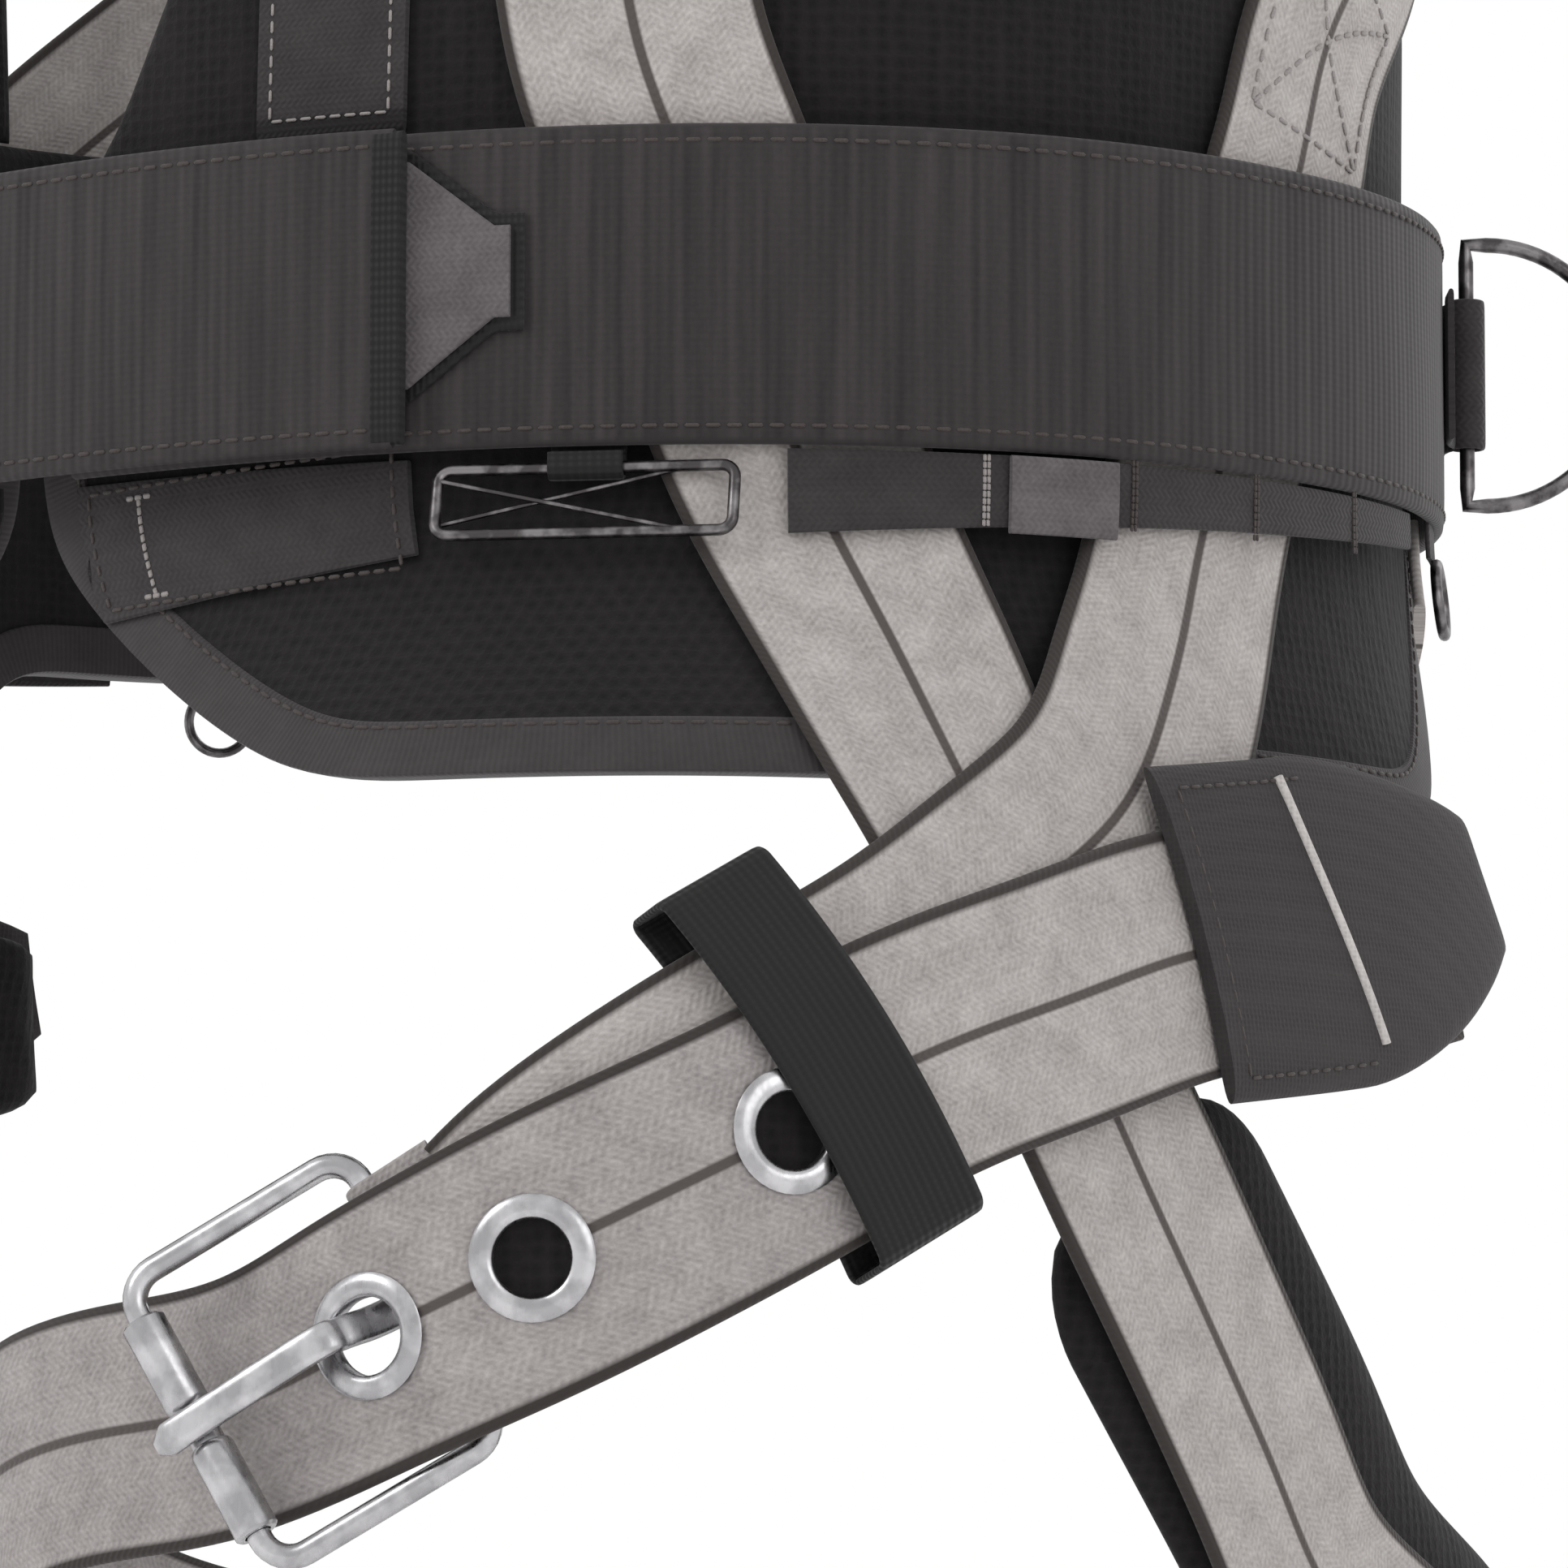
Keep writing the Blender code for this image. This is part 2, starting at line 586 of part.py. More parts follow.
def build_tongue_buckle(prefix, word, place, width, fold_leg, fold_tilt, materials, side):
    """Roller buckle. place is at the fixed bar: local X runs to the roller, local Z outwards.

    fold_leg is how far the webbing folded round the fixed bar reaches back from it,
    and fold_tilt how many degrees that webbing leans in to follow the wearer.
    """
    steel = materials["steel"]
    end = "_" + word if word else ""
    roller_rise = STRAP_RISE + WEBBING_HALF + 0.4 * MM + ROLLER_RADIUS
    pitch = np.arcsin(roller_rise / BUCKLE_LENGTH)
    tilted = place @ Matrix.Rotation(-pitch, 4, "Y")
    middle = tilted @ Matrix.Translation((BUCKLE_LENGTH / 2, 0, 0))
    half_x, half_y = BUCKLE_LENGTH / 2, width / 2 + 6.2 * MM
    wire_loop(prefix + "_frame" + end, round_box(half_x, half_y, 6 * MM), WIRE, steel, side, middle)

    at_roller = tilted @ Matrix.Translation((BUCKLE_LENGTH, 0, 0))
    reach, neck = width / 2 - 1.0 * MM, 4.5 * MM
    profile = [(-reach, ROLLER_BORE), (-reach, ROLLER_RADIUS), (-neck, ROLLER_RADIUS),
               (-neck + 0.8 * MM, ROLLER_NECK), (neck - 0.8 * MM, ROLLER_NECK), (neck, ROLLER_RADIUS),
               (reach, ROLLER_RADIUS), (reach, ROLLER_BORE)]
    turned(prefix + "_roller" + end, profile, steel, side, at_roller)

    flat_x = BUCKLE_LENGTH * cos(pitch)
    over = roller_rise + ROLLER_NECK + 0.4 * MM + TONGUE_HALF
    line = smooth_path([(3.0 * MM, 0.4 * MM), (6.5 * MM, 1.2 * MM), (10 * MM, 4.2 * MM),
                        (13.2 * MM, 9.0 * MM), (18 * MM, over - 4.0 * MM),
                        (flat_x, over), (flat_x + 7 * MM, over - 0.6 * MM)], 15)
    tongue = folded_strip(prefix + "_tongue" + end, line, TONGUE_HALF, 6.0 * MM, steel, side, place)
    hub = turned("hub_tool", [(-3.3 * MM, 0.2 * MM), (3.3 * MM, 0.2 * MM), (3.3 * MM, HUB_RADIUS),
                              (-3.3 * MM, HUB_RADIUS)], None, side, place)
    fuse(tongue, hub)
    bore = turned("bore_tool", [(-6 * MM, 0.1 * MM), (6 * MM, 0.1 * MM), (6 * MM, ROLLER_BORE),
                                (-6 * MM, ROLLER_BORE)], None, side, place)
    cut(tongue, bore)

    arc = [(FOLD_RADIUS * sin(a), FOLD_RADIUS * cos(a)) for a in np.linspace(0, pi, 9)]
    fold = [(-fold_leg, FOLD_RADIUS), (-fold_leg / 2, FOLD_RADIUS)] + arc
    fold += [(-fold_leg / 2, -FOLD_RADIUS), (-fold_leg, -FOLD_RADIUS)]
    leaning = place @ Matrix.Rotation(radians(-fold_tilt), 4, "Y")
    anchor = folded_strip(prefix + "_anchor" + end, fold, FOLD_HALF, width - 1.0 * MM,
                          materials["web"] if word else materials["belt"], side, leaning)
    slot = outline_solid("slot_tool", box_outline(-6 * MM, 6 * MM, -5 * MM, 5 * MM), 8.4 * MM,
                         None, side, place)
    cut(anchor, slot)


def build_leg_buckle(materials, side, word):
    place = body_frame(BUCKLE_TURN, BUCKLE_Z, THIGH_LIFT - STRAP_RISE, BUCKLE_HEADING)
    build_tongue_buckle("leg_buckle", word, place, WEBBING_WIDTH, 0.014, 9.0, materials, side)


def build_belt_buckle(materials):
    place = body_frame(BELT_BUCKLE_TURN, 0, BELT_OUTER_LIFT - STRAP_RISE, 0)
    build_tongue_buckle("belt_buckle", "", place, BELT_TOP - BELT_BOTTOM, 0.012, 2.0, materials, 1)


def build_side_ring(materials, side, word):
    """D-ring on an upright bar, held to the belt by a folded webbing sleeve."""
    bar_lift = BELT_LIFT + BELT_HALF + 5.0 * MM
    place = body_frame(*SIDE_RING_AT, bar_lift, 90)
    place = place @ Matrix.Rotation(radians(90), 4, "X")
    half = SIDE_RING_HALF
    arc = [(half * cos(a), 4 * MM + half * sin(a)) for a in np.linspace(0, pi, 13)]
    loop = arc + [(-half, 0), (-half / 3, 0), (half / 3, 0), (half, 0)]
    wire_loop("side_d_ring_" + word, loop, SIDE_RING_WIRE, materials["steel"], side, place)

    upright = body_frame(*SIDE_RING_AT, bar_lift)
    curl, foot = 3.1 * MM, -4.2 * MM
    bend = [(curl * cos(a), curl * sin(a)) for a in np.radians(np.linspace(-60, 240, 13))]
    line = [(16 * MM, foot), (7 * MM, foot), (3.6 * MM, foot + 0.7 * MM)] + bend
    line += [(-3.6 * MM, foot + 0.7 * MM), (-7 * MM, foot), (-16 * MM, foot)]
    folded_strip("side_ring_sleeve_" + word, line[::-1], 0.6 * MM, 0.030, materials["belt"], side, upright)


def build_tool_ring(materials, side, word):
    """Wire rectangle that hangs from a webbing loop under the belt's lower edge."""
    place = body_frame(*TOOL_RING_AT, PAD_OUTER + 5.0 * MM)
    hanging = place @ Matrix.Rotation(radians(-TOOL_RING_TILT), 4, "X")
    half_drop = TOOL_RING_DROP / 2
    loop = [(x, z - half_drop) for x, z in round_box(TOOL_RING_HALF, half_drop, 2.5 * MM, segments=3)]
    wire_loop("tool_ring_" + word, loop, TOOL_RING_WIRE, materials["steel"], side, hanging)
    across = place @ Matrix.Rotation(radians(90), 4, "Z")
    curl = 1.9 * MM
    bend = [(-curl * sin(a), curl * cos(a)) for a in np.linspace(0, pi, 7)]
    line = [(2.6 * MM, curl)] + bend + [(4.5 * MM, -curl), (9 * MM, -curl)]
    folded_strip("tool_ring_tab_" + word, line, 0.45 * MM, 0.014, materials["black"], side, across)


def build_dorsal_ring(materials):
    """Large D-ring hinged on a slotted plate between the shoulders."""
    plate_lift = FRONT_LIFT + 5.2 * MM
    centre = body_frame(180, DORSAL_RING_Z, plate_lift)
    plate = round_box(0.030, 0.032, 0.008)
    flat = centre @ Matrix.Rotation(radians(90), 4, "X")
    outline_solid("dorsal_plate", plate, 3.0 * MM, materials["black"], 1, flat)
    bar = centre @ Matrix.Translation((0, 0.010, 5.2 * MM))
    half = DORSAL_RING_HALF
    arc = [(half * cos(a), -half / 2 - half * sin(a)) for a in np.linspace(0, pi, 13)]
    loop = [(half, 0), (half / 3, 0), (-half / 3, 0), (-half, 0)] + arc[::-1]
    wire_loop("dorsal_d_ring", loop, DORSAL_RING_WIRE, materials["steel"], 1, bar)
    across = bar @ Matrix.Rotation(radians(90), 4, "Z")
    curl, foot = 3.7 * MM, -3.0 * MM
    line = [(-14 * MM, foot), (-7 * MM, foot), (-4.2 * MM, foot + 1.0 * MM)]
    line += [(curl * cos(a), curl * sin(a)) for a in np.radians(np.linspace(200, -20, 11))]
    line += [(4.2 * MM, foot + 1.0 * MM), (7 * MM, foot), (14 * MM, foot)]
    folded_strip("dorsal_ring_strap", line, 0.6 * MM, 0.030, materials["web"], 1, across)


def build_adjuster(materials, side, word):
    """Frame and sliding bar where the shoulder strap meets the front strap."""
    place = body_frame(*ADJUSTER_AT, FRONT_LIFT + 5.2 * MM, 90)
    loop = round_box(0.0175, 0.0285, 5 * MM)
    wire_loop("torso_adjuster_" + word, loop, 2.0 * MM, materials["steel"], side, place)
    bar = round_box(3.2 * MM, 1.4 * MM, 1.0 * MM, segments=2)
    outline_solid("adjuster_bar_" + word, bar, 0.0490, materials["steel"], side, place)


def build_chest_strap(materials):
    lift = FRONT_LIFT + 3.2 * MM
    for side, word in ((1, "left"), (-1, "right")):
        turns = np.linspace(*CHEST_TURNS, 8)
        add_sheet("chest_strap_" + word,
                  band_grid(turns, CHEST_LOW, CHEST_HIGH, lift - WEBBING_HALF,
                            lift + WEBBING_HALF, columns=3),
                  materials["web"], side)
    place = body_frame(0, (CHEST_LOW + CHEST_HIGH) / 2, lift)
    black, steel = materials["black"], materials["steel"]
    receiver = outline_solid("chest_buckle_receiver", box_outline(0, 0.034, -5.5 * MM, 5.5 * MM),
                             0.048, black, 1, place)
    cut(receiver, outline_solid("pocket_tool", box_outline(-1 * MM, 0.024, -2.1 * MM, 2.1 * MM),
                                0.040, None, 1, place))
    cut(receiver, outline_solid("well_tool", box_outline(7.6 * MM, 22.4 * MM, 3.1 * MM, 6 * MM),
                                0.0248, None, 1, place))
    stem = [(-0.034, -3.2 * MM), (-0.0015, -3.2 * MM), (-0.0015, -1.5 * MM), (0.022, -1.5 * MM),
            (0.022, 1.5 * MM), (-0.0015, 1.5 * MM), (-0.0015, 3.2 * MM), (-0.034, 3.2 * MM)]
    outline_solid("chest_buckle_insert", stem, 0.038, steel, 1, place)
    outline_solid("chest_buckle_button", box_outline(8 * MM, 22 * MM, 4.6 * MM, 6.4 * MM),
                  0.024, steel, 1, place)


def build_harness():
    clear_scene()
    materials = {
        "web": make_material("webbing_light", WEB_GREY, 0.75),
        "belt": make_material("belt_webbing_grey", BELT_GREY, 0.7),
        "charcoal": make_material("cover_fabric", CHARCOAL, 0.85),
        "black": make_material("pad_fabric", BLACK, 0.9),
        "steel": make_material("plated_steel", STEEL, 0.3, 1.0),
    }
    build_waist_pad(materials["black"])
    build_dorsal_pad(materials["black"])
    build_belt(materials)
    build_belt_buckle(materials)
    build_dorsal_ring(materials)
    build_chest_strap(materials)
    for side, word in ((1, "left"), (-1, "right")):
        build_vest(materials["black"], side, word)
        build_torso(materials, side, word)
        build_leg(materials, side, word)
        build_leg_buckle(materials, side, word)
        build_side_ring(materials, side, word)
        build_tool_ring(materials, side, word)
        build_adjuster(materials, side, word)


build_harness()
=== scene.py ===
import json
from math import cos, pi, radians, sin

import bpy
import numpy as np
from mathutils import Matrix, Vector

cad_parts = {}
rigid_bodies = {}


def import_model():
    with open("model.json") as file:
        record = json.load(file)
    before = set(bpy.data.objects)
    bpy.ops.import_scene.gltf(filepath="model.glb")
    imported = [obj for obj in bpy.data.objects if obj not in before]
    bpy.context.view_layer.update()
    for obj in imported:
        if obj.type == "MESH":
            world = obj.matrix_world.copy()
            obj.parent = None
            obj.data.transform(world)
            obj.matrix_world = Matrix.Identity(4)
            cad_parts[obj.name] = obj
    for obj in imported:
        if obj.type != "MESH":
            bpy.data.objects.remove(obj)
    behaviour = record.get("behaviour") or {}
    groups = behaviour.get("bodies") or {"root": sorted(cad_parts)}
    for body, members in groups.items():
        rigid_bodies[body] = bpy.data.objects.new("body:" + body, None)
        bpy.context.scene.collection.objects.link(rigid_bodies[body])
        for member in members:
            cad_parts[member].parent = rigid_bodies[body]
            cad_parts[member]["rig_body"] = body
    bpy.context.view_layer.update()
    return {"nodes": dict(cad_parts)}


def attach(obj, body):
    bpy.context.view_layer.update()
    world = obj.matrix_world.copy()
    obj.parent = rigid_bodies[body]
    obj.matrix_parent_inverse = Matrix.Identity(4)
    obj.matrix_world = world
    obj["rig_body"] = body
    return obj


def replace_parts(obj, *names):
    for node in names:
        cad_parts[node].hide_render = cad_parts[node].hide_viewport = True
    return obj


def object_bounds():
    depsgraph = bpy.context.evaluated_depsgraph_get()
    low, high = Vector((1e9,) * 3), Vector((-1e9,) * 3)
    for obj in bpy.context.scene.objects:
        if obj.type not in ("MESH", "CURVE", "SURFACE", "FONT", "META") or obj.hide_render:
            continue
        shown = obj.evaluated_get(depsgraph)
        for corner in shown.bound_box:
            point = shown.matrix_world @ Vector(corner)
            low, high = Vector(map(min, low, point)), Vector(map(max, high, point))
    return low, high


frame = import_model()
mm = 0.001
sides = ((1, "Left", "_left"), (-1, "Right", "_right"))


# The trunk: half sizes and corner power change smoothly from chest to waist to hip and thigh.
body = dict(halfWidth=0.175, halfDepth=0.134, chestWider=0.008, chestFlatter=0.006, chestHeight=0.26,
            thighX=0.104, thighY=-0.036, thighHalfWidth=0.092, thighHalfDepth=0.140,
            hipTop=-0.030, hipDrop=0.130, waistPower=2.2, thighPower=3.0)
shoulder = dict(base=0.300, rise=0.130, reach=0.240)

# How far each layer's middle stands off the body.
lifts = dict(padInner=1.0 * mm, padOuter=10.0 * mm, front=12.75 * mm, rear=15.8 * mm,
             thigh=18.85 * mm, belt=16.5 * mm, beltOuter=22.7 * mm, chest=15.95 * mm)


def smoothStep(value):
    # 3t^2 - 2t^3 between 0 and 1.
    t = np.clip(value, 0.0, 1.0)
    return t * t * (3.0 - 2.0 * t)


def bodyForm(z):
    # The share of hip, the two half sizes and the corner power at a height, each blended by smooth steps.
    hip = smoothStep((body["hipTop"] - z) / body["hipDrop"])
    chest = smoothStep(z / body["chestHeight"])
    a = (body["halfWidth"] + body["chestWider"] * chest) * (1 - hip) + body["thighHalfWidth"] * hip
    b = (body["halfDepth"] - body["chestFlatter"] * chest) * (1 - hip) + body["thighHalfDepth"] * hip
    return hip, a, b, body["waistPower"] * (1 - hip) + body["thighPower"] * hip


def bodyPoint(turn, z, lift=0.0):
    # A superellipse at each height: x = cx + a*sin^(2/p), y = cy - b*cos^(2/p), pushed out by lift.
    turn, z = np.broadcast_arrays(np.asarray(turn, float), np.asarray(z, float))
    hip, a, b, p = bodyForm(z)
    s, c = np.sin(np.radians(turn)), np.cos(np.radians(turn))
    x = body["thighX"] * hip + a * np.sign(s) * np.abs(s) ** (2 / p)
    y = body["thighY"] * hip - b * np.sign(c) * np.abs(c) ** (2 / p)
    nx = np.sign(s) * np.abs(s) ** (2 - 2 / p) / a
    ny = -np.sign(c) * np.abs(c) ** (2 - 2 / p) / b
    size = np.sqrt(nx * nx + ny * ny)
    normal = np.stack([nx / size, ny / size, np.zeros_like(nx)], axis=-1)
    return np.stack([x, y, z], axis=-1) + np.asarray(lift)[..., None] * normal


def shoulderArch(x, travel):
    # Half a turn from chest to back: y = -d*cos(pi*t), z = base + rise*sin(pi*t), lower further out.
    depth = (body["halfDepth"] - body["chestFlatter"])
    width = (body["halfWidth"] + body["chestWider"])
    depth = depth * (1 - np.abs(x / width) ** 2.2) ** (1 / 2.2)
    rise = shoulder["rise"] * (1 - (x / shoulder["reach"]) ** 2)
    return np.stack([x, -depth * np.cos(pi * travel), shoulder["base"] + rise * np.sin(pi * travel)], -1)


def shoulderPoint(x, travel, lift=0.0):
    # The arch pushed out along the cross product of its two directions.
    x, travel = np.broadcast_arrays(np.asarray(x, float), np.asarray(travel, float))
    step = 1e-4
    normal = np.cross(shoulderArch(x + step, travel) - shoulderArch(x - step, travel),
                      shoulderArch(x, travel + step) - shoulderArch(x, travel - step))
    normal /= np.linalg.norm(normal, axis=-1, keepdims=True)
    return shoulderArch(x, travel) + np.asarray(lift)[..., None] * normal


def smoothPath(points, count):
    # Catmull-Rom curve: each span is a cubic through its two knots, its slopes from their neighbours.
    knots = np.asarray(points, float)
    padded = np.vstack([2 * knots[0] - knots[1], knots, 2 * knots[-1] - knots[-2]])
    where = np.linspace(0, len(knots) - 1, count)
    index = np.minimum(where.astype(int), len(knots) - 2)
    t = (where - index)[:, None]
    a, b, c, d = (padded[index + k] for k in range(4))
    return 0.5 * (2 * b + (c - a) * t + (2 * a - 5 * b + 4 * c - d) * t ** 2
                  + (3 * b - a - 3 * c + d) * t ** 3)


def turnAt(x, y, z):
    # The turn whose superellipse direction holds the point: tan = (|x - cx| / a)^(p/2) over the same for y.
    hip, a, b, p = bodyForm(z)
    east, south = (x - body["thighX"] * hip) / a, -(y - body["thighY"] * hip) / b
    return np.degrees(np.arctan2(np.sign(east) * np.abs(east) ** (p / 2),
                                 np.sign(south) * np.abs(south) ** (p / 2)))


def smoothAlong(values, share, reach):
    # A running average whose weights fall off like a bell over the reach, its ends held still.
    weight = np.exp(-((share[:, None] - share[None, :]) / reach) ** 2)
    out = (weight @ values) / weight.sum(1, keepdims=True)
    hold = np.clip(np.minimum(share, share[-1] - share) / (2 * reach), 0, 1)[:, None]
    return values * (1 - hold) + out * hold


def makeBodyLane(points, step):
    # A lane on the body stepped in space: knots turned to points, the sideways vector square to the run
    # and to the body, both kept as 3-D values and only turned back to turn and height when looked up.
    knots = np.asarray(points, float)
    line = smoothPath(np.column_stack([bodyPoint(knots[:, 0], knots[:, 1]), knots[:, 2]]), 60 * len(knots))
    for _ in range(2):
        turn = turnAt(line[:, 0], line[:, 1], line[:, 2])
        line[:, :3] = bodyPoint(turn, line[:, 2])
        length = np.concatenate([[0], np.cumsum(np.linalg.norm(np.diff(line[:, :3], axis=0), axis=1))])
        share = np.linspace(0, length[-1], max(8, int(length[-1] / step) + 1))
        line = np.column_stack([np.interp(share, length, line[:, k]) for k in range(4)])
        line = smoothAlong(line, share, min(8 * mm, share[-1] / 8))
    turn = turnAt(line[:, 0], line[:, 1], line[:, 2])
    ahead = np.gradient(line[:, :3], axis=0)
    out = bodyPoint(turn, line[:, 2], 1.0) - bodyPoint(turn, line[:, 2], 0.0)
    out = smoothAlong(out, share, min(6 * mm, share[-1] / 8))
    aside = np.cross(out, ahead)
    aside /= np.linalg.norm(aside, axis=1, keepdims=True)
    return dict(surface=bodyPoint, length=share, place=line[:, :3], aside=aside, lift=line[:, 3],
                u=np.degrees(np.unwrap(np.radians(turn))), v=line[:, 2])


def makeLane(points, surface=bodyPoint, step=3.0 * mm):
    # A path laid on a surface, with the sideways step that keeps to the surface, and its length.
    if surface is bodyPoint:
        return makeBodyLane(points, step)
    u, v, lift = smoothPath(points, 400).T
    place = surface(u, v, lift)
    length = np.concatenate([[0], np.cumsum(np.linalg.norm(np.diff(place, axis=0), axis=1))])
    count = max(4, int(length[-1] / step) + 1)
    share = np.linspace(0, length[-1], count)
    u, v, lift = (np.interp(share, length, value) for value in (u, v, lift))
    du, dv = 0.001, 0.005
    along = np.gradient(surface(u, v, lift), axis=0)
    pu = (surface(u + du, v) - surface(u - du, v)) / (2 * du)
    pv = (surface(u, v + dv) - surface(u, v - dv)) / (2 * dv)
    normal = np.cross(pu, pv)
    side = np.cross(normal, along)
    side /= np.linalg.norm(side, axis=-1, keepdims=True)
    guu, guv, gvv = (pu * pu).sum(-1), (pu * pv).sum(-1), (pv * pv).sum(-1)
    su, sv = (side * pu).sum(-1), (side * pv).sum(-1)
    det = guu * gvv - guv * guv
    return dict(surface=surface, length=share, u=u, v=v, lift=lift,
                su=(su * gvv - sv * guv) / det, sv=(sv * guu - su * guv) / det)


def lanePoint(lane, along, across, rise=0.0):
    # The lane's values looked up at a distance along it, stepped sideways and lifted off the surface.
    along, across = np.broadcast_arrays(np.asarray(along, float), np.asarray(across, float))
    if "aside" in lane:
        look = lambda values: np.stack([np.interp(along, lane["length"], column) for column in values.T], -1)
        spot = look(lane["place"]) + look(lane["aside"]) * across[..., None]
        lift = np.interp(along, lane["length"], lane["lift"])
        return bodyPoint(turnAt(spot[..., 0], spot[..., 1], spot[..., 2]), spot[..., 2], lift + rise)
    keys = ("u", "v", "lift", "su", "sv")
    u, v, lift, su, sv = (np.interp(along, lane["length"], lane[key]) for key in keys)
    return lane["surface"](u + su * across, v + sv * across, lift + rise)


def bodyFrame(turn, z, lift, heading=0.0):
    # Local Z out of the body, local X along heading: 0 is the way turn grows, 90 is up.
    at = lambda t, h: Vector(bodyPoint(t, h, lift))
    level = (at(turn + 0.5, z) - at(turn - 0.5, z)).normalized()
    out = level.cross(at(turn, z + 0.002) - at(turn, z - 0.002)).normalized()
    up = out.cross(level)
    along = level * cos(radians(heading)) + up * sin(radians(heading))
    place = Matrix((along, out.cross(along), out)).transposed().to_4x4()
    place.translation = at(turn, z)
    return place


def addPiece(name, verts, faces, material, side=1, uv=None, place=None, smoothAngle=40):
    # The mesh in its place, mirrored across the middle for side -1, with UVs in metres.
    points = np.asarray(verts, float)
    if place is not None:
        turnBy = np.array(place)
        points = points @ turnBy[:3, :3].T + turnBy[:3, 3]
    points = points * (side, 1, 1)
    mesh = bpy.data.meshes.new(name)
    mesh.from_pydata(points.tolist(), [], [f[::-1] if side < 0 else f for f in faces])
    if uv is not None:
        layer = mesh.uv_layers.new(name="weave")
        loops = np.zeros(len(mesh.loops), np.int32)
        mesh.loops.foreach_get("vertex_index", loops)
        layer.data.foreach_set("uv", np.asarray(uv, np.float32)[loops].ravel())
    mesh.shade_smooth()
    mesh.set_sharp_from_angle(angle=radians(smoothAngle))
    mesh.materials.append(material)
    piece = bpy.data.objects.new(name, mesh)
    bpy.context.collection.objects.link(piece)
    return piece


def tubeFaces(rows, count, closed=False):
    # Quads between neighbouring rings of points, with end caps unless the tube closes on itself.
    row, k = np.arange(rows if closed else rows - 1)[:, None] * count, np.arange(count)
    ahead, beside = (row + count) % (rows * count), (k + 1) % count
    faces = np.stack([row + k, row + beside, ahead + beside, ahead + k], -1).reshape(-1, 4).tolist()
    if not closed:
        faces.append(tuple(range(count - 1, -1, -1)))
        faces.append(tuple((rows - 1) * count + k for k in range(count)))
    return faces


def webSection(crown=0.06):
    # Flat webbing seen end on: half-round edges and a face that is barely crowned.
    s = np.array([-0.5, -0.496, -0.486, -0.46, -0.38, -0.25, -0.12, 0, 0.12, 0.25, 0.38, 0.46, 0.486, 0.496])
    t = np.array([0, 0.5, 0.82, 0.96, 1, 1, 1, 1, 1, 1, 1, 0.96, 0.82, 0.5])
    top = np.stack([s, t * (1 - crown * (2 * s) ** 2)], axis=1)
    under = np.stack([-s, -t], axis=1)
    return np.vstack([top, under])


def padSection(flat=5.0, soft=2.0, under=0.85, count=15):
    # A crowned pad seen end on: t = (1 - |2s|^flat)^(1/soft) above, flatter below.
    a = np.linspace(0, pi, count + 1)[:-1]
    s = -np.cos(a) / 2
    t = np.maximum(0, 1 - np.abs(2 * s) ** flat) ** (1 / soft)
    return np.vstack([np.stack([s, t], 1), np.stack([-s, -t * under], 1)])


def layGrid(lane, width, half, section, shift=0.0, wave=0.0, narrow=1.0, startEnd=None, farEnd=None):
    # The section carried along the lane: across = s*width + shift, lift = t*half. Ends given in metres
    # are rounded like a quarter circle, down to the narrow share of the width.
    length = lane["length"]
    widths = np.broadcast_to(np.asarray(width, float), length.shape)
    halves = np.full(len(length), float(half))
    for reach, near in ((startEnd, length), (farEnd, length[-1] - length)):
        if reach:
            curve = np.sqrt(np.clip(1 - (1 - np.clip(near / reach, 0, 1)) ** 2, 0.03, 1))
            widths = widths * (narrow + (1 - narrow) * curve)
            thinning = np.sqrt(1 - (1 - np.clip(near / abs(half), 0, 1)) ** 2)
            halves = halves * (0.15 + 0.85 * thinning)
    across = section[None, :, 0] * widths[:, None] + shift
    ripple = wave * np.sin(length / 0.031 + 1.3)[:, None]
    ripple = ripple * np.sin(section[None, :, 0] * 5 + length[:, None] / 0.05)
    along = np.repeat(length[:, None], len(section), 1)
    points = lanePoint(lane, along, across, section[None, :, 1] * halves[:, None] + ripple)
    return points, np.stack([across - shift, along], -1)


def loftPiece(name, points, uv, material, side=1, closed=False):
    # Rings of points joined into a closed skin.
    faces = tubeFaces(points.shape[0], points.shape[1], closed)
    return fixNormals(addPiece(name, points.reshape(-1, 3), faces, material, side, uv.reshape(-1, 2)))


def layPiece(name, lane, width, half, material, side=1, section=None, **shape):
    # One strap, band or pad laid along a lane.
    section = webSection() if section is None else section
    return loftPiece(name, *layGrid(lane, width, half, section, **shape), material, side)


def roundTheBack(points, uv, extra=5, other=None):
    # The left half's rings, a few blended rings across the back, and the right half's rings mirrored.
    right, rightUv = other or (points, uv)
    mirrored = right[::-1] * (-1, 1, 1)
    share = np.linspace(0, 1, extra + 2)[1:-1, None, None]
    middle = points[-1] * (1 - share) + mirrored[0] * share
    step = np.linalg.norm(mirrored[0] - points[-1], axis=1).mean() * share[..., 0]
    middleUv = np.stack([np.broadcast_to(uv[-1, :, 0], middle.shape[:2]), uv[-1, :, 1] + step], -1)
    farUv = np.stack([rightUv[::-1, :, 0], 2 * uv[-1, :, 1].max() - rightUv[::-1, :, 1] + 0.1], -1)
    return np.concatenate([points, middle, mirrored]), np.concatenate([uv, middleUv, farUv])


